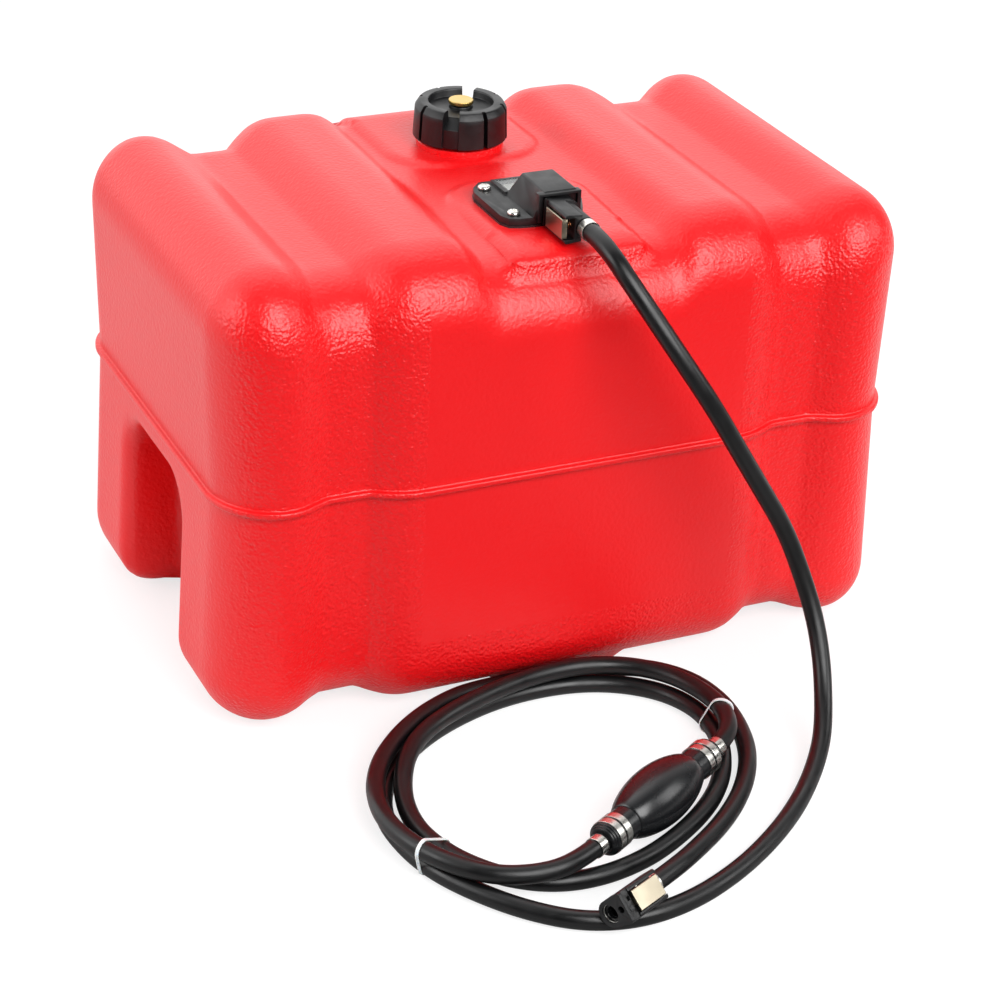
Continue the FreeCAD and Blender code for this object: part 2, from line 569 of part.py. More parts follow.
outside = [(-NECK_END, NECK_R), (-BULB_HALF - 2, NECK_R)]
inside = [(NECK_END, 7.5), (40, 7.5)]
for i in range(-10, 11):
    s = BULB_HALF * math.sin(i * math.pi / 20)
    outside.append((s, swell(s, BULB_R, NECK_R + 0.6, BULB_HALF)))
    s = -(BULB_HALF - 4) * math.sin(i * math.pi / 20)
    inside.append((s, swell(s, BULB_R - 4, 9.0, BULB_HALF - 4)))
outside.extend([(BULB_HALF + 2, NECK_R), (NECK_END, NECK_R)])
inside.extend([(-40, 7.5), (-NECK_END, 7.5)])
parts["primer_bulb"] = turned(outside + inside)


def fitting(sign, flow):
    """End fitting: a stem in the bulb's neck, a ribbed collar and a hose barb, with a valve chamber."""
    collar = [(NECK_END, 12.2), (66.6, 12.2), (67.2, 11.0), (68.0, 11.0), (68.4, 10.4), (70, 8.6)]
    barb = [(70, HOSE_BORE), (79.5, HOSE_BORE), (79.5, 2.5)]
    if flow > 0:
        passage = [(56, 2.5), (56, 5.6), (51, 5.6), (51, 3.6), (42, 3.6), (42, 7.5)]
    else:
        passage = [(56, 2.5), (56, 3.6), (55.9, 3.6), (55.9, 5.6), (50.9, 5.6), (50.9, 2.5), (42, 2.5), (42, 7.5)]
    profile = [(NECK_END, 7.5)] + collar + barb + passage
    return turned([(sign * s, r) for s, r in profile])


# Inlet at the bulb's +s end: its disc seats towards the hose; outlet at -s: its disc seats towards the bulb
parts["bulb_inlet_fitting"] = fitting(1, 1)
parts["bulb_outlet_fitting"] = fitting(-1, -1)
parts["inlet_valve"] = Part.makeCylinder(5.3, 1.6, on_axis(54.3), AXIS)
parts["outlet_valve"] = Part.makeCylinder(5.3, 1.6, on_axis(-52.6), AXIS)


def band(s, width, r_in, r_out, ear):
    hoop = Part.makeCylinder(r_out, width, on_axis(s), AXIS).cut(Part.makeCylinder(r_in, width, on_axis(s), AXIS))
    if not ear:
        return hoop
    lug = Part.makeBox(width - 1.6, 7, 2.6, V(0.8, -3.5, r_out - 0.3))
    lug.rotate(V(0, 0, 0), V(1, 0, 0), ear)
    lug.rotate(V(0, 0, 0), V(0, 0, 1), BULB_ANGLE)
    lug.translate(on_axis(s))
    return hoop.fuse(lug)


parts["bulb_neck_clamps"] = Part.makeCompound([
    band(s, 6, NECK_R, NECK_R + 0.6, 0) for s in (-64.5, -56.5, 50.5, 58.5)])

clamps = [band(-80, 8, HOSE_R + 0.05, HOSE_R + 0.75, 0), band(72, 8, HOSE_R + 0.05, HOSE_R + 0.75, 0)]
for origin, u in ((TANK_MOUTH, TANK_U), (ENGINE_MOUTH, ENGINE_U)):
    start = origin + u * 39.0
    outer_ring = Part.makeCylinder(HOSE_R + 0.75, 8, start, u)
    clamps.append(outer_ring.cut(Part.makeCylinder(HOSE_R + 0.05, 8, start, u)))
parts["hose_clamps"] = Part.makeCompound(clamps)


def hull(points):
    points = sorted(set(points))
    loops = []
    for order in (points, points[::-1]):
        chain = []
        for p in order:
            while len(chain) > 1:
                (ax, ay), (bx, by) = chain[-2], chain[-1]
                if (bx - ax) * (p[1] - ay) - (by - ay) * (p[0] - ax) > 0:
                    break
                chain.pop()
            chain.append(p)
        loops.append(chain[:-1])
    return loops[0] + loops[1]


def tie(origin, across, strands):
    """Flat strap round parallel strands; strands are (offset across, height, half width, half height)."""
    faces = []
    for grow in (1.0, 0.2):
        cloud = []
        for h, z, rh, rz in strands:
            for i in range(40):
                a = i * math.pi / 20
                x = round(h + (rh + grow) * math.cos(a), 4)
                y = round(max(0.0, z + (rz + grow) * math.sin(a)), 4)
                cloud.append((x, y))
        pts = [origin + across * x + V(0, 0, y) for x, y in hull(cloud)]
        faces.append(Part.Face(Part.makePolygon(pts + pts[:1])))
    normal = across.cross(V(0, 0, 1))
    start = normal * -1.2
    solids = []
    for face in faces:
        face.translate(start)
        solids.append(face.extrude(normal * 2.4))
    return solids[0].cut(solids[1])


left = tie(V(-196, -358, 0), V(0.8351, 0.5501, 0), [(0.65, 7.8, 7.1, 6.75), (20.79, 7.9, 7.0, 6.75),
                                                    (-3.89, 21.53, 6.9, 6.75)])
right = tie(V(71, -278, 0), V(0.8, -0.6, 0), [(-6.26, 7.8, 7.8, 6.75), (0.38, 23.41, 7.8, 6.75)])
parts["hose_ties"] = Part.makeCompound([left, right])

for name, shape in parts.items():
    good = shape.isValid()
    print("%-28s solids %d valid %s volume %.0f" % (name, len(shape.Solids), good, shape.Volume))
    shape.exportStep("parts/" + name + ".step")
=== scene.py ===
import math

import bmesh
import bpy
import numpy as np
from mathutils import Matrix, Vector


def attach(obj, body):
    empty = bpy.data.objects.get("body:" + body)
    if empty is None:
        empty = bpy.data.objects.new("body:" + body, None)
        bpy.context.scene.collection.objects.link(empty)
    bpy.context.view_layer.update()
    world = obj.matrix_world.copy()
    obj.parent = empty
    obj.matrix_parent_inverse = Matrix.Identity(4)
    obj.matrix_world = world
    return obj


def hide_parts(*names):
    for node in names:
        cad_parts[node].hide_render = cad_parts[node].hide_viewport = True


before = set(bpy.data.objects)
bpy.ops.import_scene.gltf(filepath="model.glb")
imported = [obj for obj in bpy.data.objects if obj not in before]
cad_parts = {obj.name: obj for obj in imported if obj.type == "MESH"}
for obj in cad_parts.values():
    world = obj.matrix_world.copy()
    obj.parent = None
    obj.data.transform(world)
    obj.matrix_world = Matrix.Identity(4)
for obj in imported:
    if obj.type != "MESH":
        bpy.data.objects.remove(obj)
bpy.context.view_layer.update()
mm = 0.001

# Shapes below are worked out in millimetres and put into the mesh in metres.


# ---- shared helpers

# sRGB hex to the linear colour that Blender's sockets take
def linearColour(hexCode):
    parts = [int(hexCode[i:i + 2], 16) / 255 for i in (1, 3, 5)]
    return tuple(c / 12.92 if c <= 0.04045 else ((c + 0.055) / 1.055) ** 2.4 for c in parts) + (1.0,)


# One shader node: settings are its options, values its inputs, each a plain value or another node's output
def addNode(mat, kind, values=None, **settings):
    made = mat.node_tree.nodes.new(kind)
    for option, value in settings.items():
        setattr(made, option, value)
    for socket, value in (values or {}).items():
        if isinstance(value, bpy.types.NodeSocket):
            mat.node_tree.links.new(value, made.inputs[socket])
        else:
            made.inputs[socket].default_value = value
    return made


# A material with its Principled shader, whose sockets take the given values
def newMaterial(name, hexCode, **sockets):
    mat = bpy.data.materials.new(name)
    mat.use_nodes = True
    shader = mat.node_tree.nodes["Principled BSDF"]
    shader.inputs["Base Color"].default_value = linearColour(hexCode)
    for socket, value in sockets.items():
        shader.inputs[socket.replace("_", " ")].default_value = value
    mat.diffuse_color = linearColour(hexCode)
    return mat, shader


def setMaterial(obj, mat):
    obj.data.materials.clear()
    obj.data.materials.append(mat)


# Object from points in millimetres and faces; smooth up to the given angle between faces
def meshPiece(name, points, faces, mat, smoothAngle=40):
    mesh = bpy.data.meshes.new(name)
    mesh.from_pydata((np.asarray(points, float) * mm).tolist(), [], np.asarray(faces).tolist()
                     if isinstance(faces, np.ndarray) else faces)
    mesh.validate()
    mesh.shade_smooth()
    mesh.set_sharp_from_angle(angle=math.radians(smoothAngle))
    obj = bpy.data.objects.new(name, mesh)
    bpy.context.collection.objects.link(obj)
    setMaterial(obj, mat)
    return obj


# A piece takes its place: the body it rides on, its slot (not used), and the nodes that it stands for
def settle(piece, body, slot, *nodes):
    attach(piece, body)
    if nodes:
        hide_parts(*nodes)


# A seat is a local frame: its origin in millimetres and its three axes.
# Points given in it are carried into the object's frame.
def seatPoints(points, seat):
    return np.asarray(seat[0], float) + np.asarray(points, float) @ np.asarray(seat[1], float)


# Outline with rounded corners: each corner becomes an arc of its radius that touches both its sides
def roundedOutline(corners, radii, steps=5):
    corners = np.asarray(corners, float)
    radii = np.maximum(np.broadcast_to(radii, len(corners)), 0.02)
    before = np.roll(corners, 1, axis=0) - corners
    after = np.roll(corners, -1, axis=0) - corners
    before /= np.linalg.norm(before, axis=1)[:, None]
    after /= np.linalg.norm(after, axis=1)[:, None]
    half = np.arccos(np.clip((before * after).sum(axis=1), -1, 1)) / 2
    middle = (before + after) / np.linalg.norm(before + after, axis=1)[:, None]
    middle = middle * (radii / np.sin(half))[:, None]
    first = before * (radii / np.tan(half))[:, None] - middle
    last = after * (radii / np.tan(half))[:, None] - middle
    sweep = (math.pi - 2 * half)[:, None]
    t = np.linspace(0, 1, steps + 1)[None, :]
    start, end = np.sin((1 - t) * sweep) / np.sin(sweep), np.sin(t * sweep) / np.sin(sweep)
    arcs = (corners + middle)[:, None] + first[:, None] * start[:, :, None] + last[:, None] * end[:, :, None]
    return arcs.reshape(-1, 2)


# A block: an outline carried up through rows of (height, inset), with flat ends.
# The inset runs along the outline's normals.
def blockPiece(name, outline, rows, seat, mat, smoothAngle=35):
    outline = np.asarray(outline, float)
    side = np.roll(outline, -1, axis=0) - np.roll(outline, 1, axis=0)
    normal = np.stack([side[:, 1], -side[:, 0]], axis=1) / np.linalg.norm(side, axis=1)[:, None]
    count = len(outline)
    layers = [np.column_stack([outline - normal * inset, np.full(count, height)]) for height, inset in rows]
    i, j = np.meshgrid(np.arange(count), np.arange(len(rows) - 1))
    after = (i + 1) % count
    sides = np.stack([j * count + i, j * count + after, (j + 1) * count + after, (j + 1) * count + i], axis=2)
    top = (len(rows) - 1) * count
    faces = sides.reshape(-1, 4).tolist() + [list(range(count))[::-1], list(range(top, top + count))]
    return meshPiece(name, seatPoints(np.concatenate(layers), seat), faces, mat, smoothAngle)


# A turned piece: a closed profile of (radius, height) carried round the seat's third axis.
# change(angle, radius, height) gives back the radius and height at each angle, for lobes, notches and knurls.
def turnedPiece(name, profile, seat, mat, angles=96, change=None, smoothAngle=35):
    profile = np.asarray(profile, float)
    angles = np.linspace(0, 2 * math.pi, angles, endpoint=False) if isinstance(angles, int) else angles
    steps, count = len(angles), len(profile)
    angle = np.repeat(angles[:, None], count, axis=1)
    radius, height = np.broadcast_to(profile[:, 0], angle.shape), np.broadcast_to(profile[:, 1], angle.shape)
    if change:
        radius, height = change(angle, radius, height)
    points = np.stack([radius * np.cos(angle), radius * np.sin(angle), height], axis=2).reshape(-1, 3)
    solid = max(profile[0, 0], profile[-1, 0]) < 1e-6
    i, j = np.meshgrid(np.arange(steps), np.arange(count - solid), indexing="ij")
    faces = np.stack([i * count + j, (i + 1) % steps * count + j, (i + 1) % steps * count + (j + 1) % count,
                      i * count + (j + 1) % count], axis=2).reshape(-1, 4)
    piece = meshPiece(name, seatPoints(points, seat), faces, mat, smoothAngle)
    if profile[:, 0].min() < 1e-6:
        cleaned(piece.data, 1e-7)
        piece.data.set_sharp_from_angle(angle=math.radians(smoothAngle))
    return piece


# Points that coincide are merged, and edges between flat neighbours can be dissolved
def cleaned(mesh, gap, flat=None):
    work = bmesh.new()
    work.from_mesh(mesh)
    bmesh.ops.remove_doubles(work, verts=work.verts, dist=gap)
    if flat:
        bmesh.ops.dissolve_limit(work, angle_limit=flat, verts=work.verts, edges=work.edges)
    work.to_mesh(mesh)
    work.free()


# The piece with closed tools cut away and its edges softened by a small bevel
def carved(piece, cuts=(), bevel=0.0, smoothAngle=35):
    for tool in cuts:
        step = piece.modifiers.new("carve", "BOOLEAN")
        step.operation, step.object, step.solver = "DIFFERENCE", tool, "MANIFOLD"
    if bevel:
        step = piece.modifiers.new("soften", "BEVEL")
        step.width, step.segments, step.limit_method = bevel * mm, 2, "ANGLE"
        step.angle_limit = math.radians(35)
        step.use_clamp_overlap = True
    bpy.context.view_layer.update()
    graph = bpy.context.evaluated_depsgraph_get()
    mesh = bpy.data.meshes.new_from_object(piece.evaluated_get(graph))
    piece.modifiers.clear()
    piece.data = mesh
    mesh.shade_smooth()
    mesh.set_sharp_from_angle(angle=math.radians(smoothAngle))
    for tool in cuts:
        bpy.data.objects.remove(tool)
    return piece


# A detailed copy of a rigid node: its loose triangles are merged and its edges get a small moulded radius
def softenedNode(name, node, mat, bevel):
    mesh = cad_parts[node].data.copy()
    cleaned(mesh, 1e-6, math.radians(0.6))
    piece = bpy.data.objects.new(name, mesh)
    bpy.context.collection.objects.link(piece)
    setMaterial(piece, mat)
    return carved(piece, bevel=bevel)


# ---- camera

cameraSet = {"place": (-0.8120, -1.7264, 1.0857), "right": (0.9097, -0.4132, 0.0415),
             "up": (0.1614, 0.4438, 0.8815), "ahead": (0.3827, 0.7952, -0.4704), "lens": 98.55}
cameraData = bpy.data.cameras.new("camera")
camera = bpy.data.objects.new("camera", cameraData)
bpy.context.collection.objects.link(camera)
axes = [Vector(cameraSet["right"]), Vector(cameraSet["up"]), -Vector(cameraSet["ahead"])]
camera.matrix_world = Matrix.Translation(cameraSet["place"]) @ Matrix(axes).transposed().to_4x4()
cameraData.lens = cameraSet["lens"]
cameraData.sensor_width = 36
cameraData.clip_start, cameraData.clip_end = 0.05, 50
bpy.context.scene.camera = camera
print("camera set")

# ---- light, world and floor

lampSet = {
    "leftSoftbox": {"place": (-2.4, 0.1, 1.3), "aim": (-0.2, 0, 0.15), "size": (1.5, 1.5), "power": 25},
    "topSoftbox": {"place": (0.3, 0.9, 2.3), "aim": (0, 0, 0.2), "size": (2.0, 1.4), "power": 4},
    "frontSoftbox": {"place": (0.3, -2.4, 1.9), "aim": (0, 0, 0.15), "size": (2.4, 2.0), "power": 114},
    "rightSoftbox": {"place": (2.4, -1.2, 1.4), "aim": (0.1, 0, 0.15), "size": (1.2, 1.4), "power": 20},
}
for name, lamp in lampSet.items():
    data = bpy.data.lights.new(name, "AREA")
    data.shape = "RECTANGLE"
    data.size, data.size_y = lamp["size"]
    data.energy = lamp["power"]
    obj = bpy.data.objects.new(name, data)
    bpy.context.collection.objects.link(obj)
    obj.location = lamp["place"]
    obj.rotation_mode = "QUATERNION"
    obj.rotation_quaternion = (Vector(lamp["aim"]) - Vector(lamp["place"])).to_track_quat("-Z", "Y")

# The studio is white behind the object and dim in front; the camera sees plain white all round. For every ray
# but the camera's, the floor is painted dark in front of the tank and pale behind it. This painted shade dims
# the light and reflection that the floor gives the tank's front
studioSet = {"dim": 0.05, "bright": 1.6, "towards": (-0.1, 0.92, 0.38), "from": 0.2, "full": 0.75,
             "seen": 1.0, "floorHalf": 6000, "floorFrontPaintedShade": 0.05, "floorBack": 0.75, "floorSeen": 0.92,
             "floorShare": 0.68, "floorStart": -0.7, "floorEnd": -0.1, "glow": 1.1}
world = bpy.data.worlds.new("studio")
bpy.context.scene.world = world
world.use_nodes = True
rays = addNode(world, "ShaderNodeLightPath")
seenRays = addNode(world, "ShaderNodeMath", {0: rays.outputs["Is Camera Ray"],
                                             1: rays.outputs["Is Transmission Ray"]}, operation="MAXIMUM")
way = addNode(world, "ShaderNodeTexCoord")
towards = addNode(world, "ShaderNodeVectorMath", {0: way.outputs["Generated"], 1: studioSet["towards"]},
                  operation="DOT_PRODUCT")
level = addNode(world, "ShaderNodeMapRange", {"Value": towards.outputs["Value"],
                                              "From Min": studioSet["from"], "From Max": studioSet["full"],
                                              "To Min": studioSet["dim"], "To Max": studioSet["bright"]})
level = addNode(world, "ShaderNodeMapRange", {"Value": seenRays.outputs[0], "To Min": level.outputs[0],
                                              "To Max": studioSet["seen"]})
background = world.node_tree.nodes["Background"]
background.inputs["Color"].default_value = (1, 1, 1, 1)
world.node_tree.links.new(level.outputs[0], background.inputs["Strength"])

floorMat, floorShader = newMaterial("whitePaperSweep", "#F4F4F4", Roughness=0.9)
floorRays = addNode(floorMat, "ShaderNodeLightPath")
seen = addNode(floorMat, "ShaderNodeMath", {0: floorRays.outputs["Is Camera Ray"],
                                            1: floorRays.outputs["Is Transmission Ray"]}, operation="MAXIMUM")
share = addNode(floorMat, "ShaderNodeMath", {0: seen.outputs[0], 1: studioSet["floorShare"]},
                operation="MULTIPLY")
floorCoords = addNode(floorMat, "ShaderNodeTexCoord")
spot = addNode(floorMat, "ShaderNodeSeparateXYZ", {0: floorCoords.outputs["Object"]})
# painted shade: for rays other than the camera's, the floor's colour runs from dark in front to pale behind
floorWhiteWithPaintedShade = addNode(floorMat, "ShaderNodeMapRange", {"Value": spot.outputs["Y"],
                                                    "From Min": studioSet["floorStart"],
                                                    "From Max": studioSet["floorEnd"],
                                                    "To Min": studioSet["floorFrontPaintedShade"],
                                                    "To Max": studioSet["floorBack"]})
floorWhiteWithPaintedShade = addNode(floorMat, "ShaderNodeMapRange", {"Value": seen.outputs[0], "To Min": floorWhiteWithPaintedShade.outputs[0],
                                                    "To Max": studioSet["floorSeen"]})
floorMat.node_tree.links.new(floorWhiteWithPaintedShade.outputs[0], floorShader.inputs["Base Color"])
glow = addNode(floorMat, "ShaderNodeEmission", {"Color": (1, 1, 1, 1), "Strength": studioSet["glow"]})
mixed = addNode(floorMat, "ShaderNodeMixShader", {0: share.outputs[0], 1: floorShader.outputs[0],
                                                  2: glow.outputs[0]})
floorMat.node_tree.links.new(mixed.outputs[0], floorMat.node_tree.nodes["Material Output"].inputs["Surface"])
reach = studioSet["floorHalf"]
floor = meshPiece("floor", [(-reach, -reach, 0), (reach, -reach, 0), (reach, reach, 0), (-reach, reach, 0)],
                  [(0, 1, 2, 3)], floorMat)
bpy.context.scene.view_settings.view_transform = "Standard"
print("light and floor set")

# ---- finishes

# Blow- or rotomoulded HDPE: dense saturated red, waxy half-gloss, with the mould's etched grain.
# Leather grain about 2.3 mm across on the upright faces, fine stipple all over, plain panels in front.
redSet = {"colour": "#E00C12", "roughness": 0.36, "leather": 2.3, "stipple": 1.5, "leatherDepth": 0.62,
          "stippleDepth": 0.5, "leatherMean": 0.87}
redPlastic, redShader = newMaterial("redPolyethyleneMoulded", redSet["colour"], Roughness=redSet["roughness"],
                                    IOR=1.5)
coords = addNode(redPlastic, "ShaderNodeTexCoord")
place = coords.outputs["Object"]
normal = addNode(redPlastic, "ShaderNodeNewGeometry").outputs["Normal"]
leather = addNode(redPlastic, "ShaderNodeTexVoronoi", {"Vector": place, "Scale": 1000 / redSet["leather"],
                                                       "Smoothness": 0.6}, feature="SMOOTH_F1")
ripple = addNode(redPlastic, "ShaderNodeTexNoise", {"Vector": place, "Scale": 1000 / redSet["leather"] * 0.6,
                                                    "Detail": 2.0})
stipple = addNode(redPlastic, "ShaderNodeTexNoise", {"Vector": place, "Scale": 1000 / redSet["stipple"] * 0.5,
                                                     "Detail": 1.5})
split = addNode(redPlastic, "ShaderNodeSeparateXYZ", {0: place})
facing = addNode(redPlastic, "ShaderNodeSeparateXYZ", {0: normal})
upright = addNode(redPlastic, "ShaderNodeMapRange", {"Value": facing.outputs["Z"], "From Min": 0.35,
                                                     "From Max": 0.8, "To Min": 1.0, "To Max": 0.0})
endFace = addNode(redPlastic, "ShaderNodeMath", {0: facing.outputs["X"]}, operation="ABSOLUTE")
endShare = addNode(redPlastic, "ShaderNodeMapRange", {"Value": endFace.outputs[0], "From Min": 0.7,
                                                      "From Max": 0.95, "To Min": 1.0, "To Max": 0.25})
# the hand recesses are nearly plain: |x| > 215 mm and |y| < 80 mm
sideways = addNode(redPlastic, "ShaderNodeMath", {0: split.outputs["X"]}, operation="ABSOLUTE")
middle = addNode(redPlastic, "ShaderNodeMath", {0: split.outputs["Y"]}, operation="ABSOLUTE")
atEnd = addNode(redPlastic, "ShaderNodeMath", {0: sideways.outputs[0], 1: 0.215}, operation="GREATER_THAN")
atMiddle = addNode(redPlastic, "ShaderNodeMath", {0: middle.outputs[0], 1: 0.08}, operation="LESS_THAN")
inRecess = addNode(redPlastic, "ShaderNodeMath", {0: atEnd.outputs[0], 1: atMiddle.outputs[0]},
                   operation="MULTIPLY")
recessShare = addNode(redPlastic, "ShaderNodeMapRange", {"Value": inRecess.outputs[0], "To Min": 1.0,
                                                         "To Max": 0.2})
endShare = addNode(redPlastic, "ShaderNodeMath", {0: endShare.outputs[0], 1: recessShare.outputs[0]},
                   operation="MULTIPLY")
# plain panels: |x - 2.5 mm| < 125 mm and 59 mm < z < 325 mm on the front
offset = addNode(redPlastic, "ShaderNodeMath", {0: split.outputs["X"], 1: -0.0025}, operation="ADD")
across = addNode(redPlastic, "ShaderNodeMath", {0: offset.outputs[0]}, operation="ABSOLUTE")
panelX = addNode(redPlastic, "ShaderNodeMapRange", {"Value": across.outputs[0], "From Min": 0.1245,
                                                    "From Max": 0.1255, "To Min": 1.0, "To Max": 0.0})
panelLow = addNode(redPlastic, "ShaderNodeMapRange", {"Value": split.outputs["Z"], "From Min": 0.0585,
                                                      "From Max": 0.0595})
panelHigh = addNode(redPlastic, "ShaderNodeMapRange", {"Value": split.outputs["Z"], "From Min": 0.3245,
                                                       "From Max": 0.3255, "To Min": 1.0, "To Max": 0.0})
panelFront = addNode(redPlastic, "ShaderNodeMapRange", {"Value": split.outputs["Y"], "From Min": -0.17,
                                                        "From Max": -0.1, "To Min": 1.0, "To Max": 0.0})
panel = panelX
for bound in (panelLow, panelHigh, panelFront):
    panel = addNode(redPlastic, "ShaderNodeMath", {0: panel.outputs[0], 1: bound.outputs[0]},
                    operation="MULTIPLY")
grained = addNode(redPlastic, "ShaderNodeMath", {0: 1.0, 1: panel.outputs[0]}, operation="SUBTRACT")
leatherShare = upright
for factor in (grained, endShare):
    leatherShare = addNode(redPlastic, "ShaderNodeMath", {0: leatherShare.outputs[0], 1: factor.outputs[0]},
                           operation="MULTIPLY")
cells = addNode(redPlastic, "ShaderNodeMath", {0: leather.outputs["Distance"], 1: ripple.outputs["Fac"]},
                operation="ADD")
# the grain rises and falls about the plain surface, so that a plain panel's edge is no step
cells = addNode(redPlastic, "ShaderNodeMath", {0: cells.outputs[0], 1: redSet["leatherMean"]},
                operation="SUBTRACT")
leatherHeight = addNode(redPlastic, "ShaderNodeMath", {0: cells.outputs[0], 1: leatherShare.outputs[0]},
                        operation="MULTIPLY")
leatherBump = addNode(redPlastic, "ShaderNodeBump", {"Height": leatherHeight.outputs[0], "Strength": 1.0,
                                                     "Distance": redSet["leatherDepth"] * mm})
stippleBump = addNode(redPlastic, "ShaderNodeBump", {"Height": stipple.outputs["Fac"], "Strength": 0.8,
                                                     "Distance": redSet["stippleDepth"] * mm,
                                                     "Normal": leatherBump.outputs[0]})
redPlastic.node_tree.links.new(stippleBump.outputs[0], redShader.inputs["Normal"])


# Fine even grain for a small moulding: noise of a size in mm as bump, and a little of it in the roughness
def addGrain(mat, shader, size, depth, roughness, spread=0.08):
    where = addNode(mat, "ShaderNodeTexCoord").outputs["Object"]
    grain = addNode(mat, "ShaderNodeTexNoise", {"Vector": where, "Scale": 1000 / size, "Detail": 3.0})
    patches = addNode(mat, "ShaderNodeTexNoise", {"Vector": where, "Scale": 1000 / (size * 14),
                                                  "Detail": 2.0})
    bump = addNode(mat, "ShaderNodeBump", {"Height": grain.outputs["Fac"], "Distance": depth * mm,
                                           "Strength": 0.6})
    gloss = addNode(mat, "ShaderNodeMapRange", {"Value": patches.outputs["Fac"], "From Min": 0.3,
                                                "From Max": 0.7, "To Min": roughness - spread,
                                                "To Max": roughness + spread})
    mat.node_tree.links.new(bump.outputs[0], shader.inputs["Normal"])
    mat.node_tree.links.new(gloss.outputs[0], shader.inputs["Roughness"])


# Moulded glass-filled nylon: near black with a soft grey bloom from its fine spark-etched skin
blackNylon, shader = newMaterial("blackNylonMoulded", "#08080A", IOR=1.5)
addGrain(blackNylon, shader, 0.9, 0.05, 0.42)
# Extruded nitrile rubber: matt black skin with a satin sheen along its length
hoseRubber, shader = newMaterial("nitrileRubberExtruded", "#0A0A0B", IOR=1.46)
addGrain(hoseRubber, shader, 1.2, 0.02, 0.37)
# Moulded rubber of the bulb, its collars and the seals: a little glossier, with small flow marks
bulbRubber, shader = newMaterial("nitrileRubberMoulded", "#101113", IOR=1.55)
addGrain(bulbRubber, shader, 1.6, 0.02, 0.27, 0.04)
# Stainless strip: cold rolled, bright with faint drawing
stainless, shader = newMaterial("stainlessSteelStrip", "#DAD8D2", Metallic=1.0)
addGrain(stainless, shader, 0.8, 0.004, 0.28)
# Nickel-plated pressing: warm bright plate with a slight orange peel
nickel, shader = newMaterial("nickelPlatedSteel", "#A89F8C", Metallic=1.0)
addGrain(nickel, shader, 2.0, 0.02, 0.34)
# Turned brass, lightly tarnished
brass, shader = newMaterial("brassTurned", "#D2B26A", Metallic=1.0)
addGrain(brass, shader, 1.0, 0.01, 0.3)
# Copper-plated spring wire
copper, shader = newMaterial("copperPlatedWire", "#B8704A", Metallic=1.0)
addGrain(copper, shader, 0.5, 0.01, 0.3)
# White nylon cable tie: slightly translucent, waxy
whiteNylon, shader = newMaterial("whiteNylonTie", "#EDEDEB", Subsurface_Weight=0.2, IOR=1.53)
addGrain(whiteNylon, shader, 0.8, 0.02, 0.45)
# Clear acrylic window
clearAcrylic, shader = newMaterial("clearAcrylic", "#F8FAFA", Transmission_Weight=1.0, IOR=1.49)
addGrain(clearAcrylic, shader, 3.0, 0.005, 0.08, 0.03)
# Pale printed dial plate of ABS
paleAbs, shader = newMaterial("paleAbsDial", "#B9B7AF", IOR=1.54)
addGrain(paleAbs, shader, 0.8, 0.01, 0.4)
# Red acetal pointer
redAcetal, shader = newMaterial("redAcetal", "#C8321E", IOR=1.48)
addGrain(redAcetal, shader, 0.8, 0.01, 0.35)
# Blown nitrile float: dull dark foam with a closed skin
floatFoam, shader = newMaterial("nitrileFoamFloat", "#2A2826", IOR=1.5)
addGrain(floatFoam, shader, 0.7, 0.12, 0.75)
# Stainless gauze of the filler basket and strainer
gauze, shader = newMaterial("stainlessGauze", "#B9B8B4", Metallic=1.0)
addGrain(gauze, shader, 0.6, 0.15, 0.38)

nodeFinish = {
    "tank_shell": redPlastic, "filler_cap": blackNylon, "cap_gasket": bulbRubber, "cap_vent_bush": brass,
    "vent_screw": brass, "vent_seal": bulbRubber, "flame_screen": gauze, "outlet_housing": blackNylon,
    "outlet_gasket": bulbRubber, "outlet_screws": stainless, "outlet_nipple": nickel, "pickup_tube": paleAbs,
    "pickup_strainer": gauze, "gauge_lens": clearAcrylic, "gauge_dial": paleAbs, "gauge_pointer": redAcetal,
    "gauge_guide": paleAbs, "gauge_float": floatFoam, "supply_hose": hoseRubber, "engine_hose": hoseRubber,
    "primer_bulb": bulbRubber, "bulb_inlet_fitting": blackNylon, "bulb_outlet_fitting": blackNylon,
    "inlet_valve": bulbRubber, "outlet_valve": bulbRubber, "bulb_neck_clamps": stainless,
    "hose_clamps": stainless, "hose_ties": whiteNylon,
}
for side in ("tank_connector_", "engine_connector_"):
    nodeFinish.update({side + "body": blackNylon, side + "seal": bulbRubber, side + "latch": nickel,
                       side + "latch_pin": stainless, side + "latch_spring": copper, side + "ball": stainless,
                       side + "ball_spring": stainless})
for name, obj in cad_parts.items():
    setMaterial(obj, nodeFinish[name])
print("finishes set for", len(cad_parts), "nodes")

# ---- hose: the fixed centre lines, in millimetres

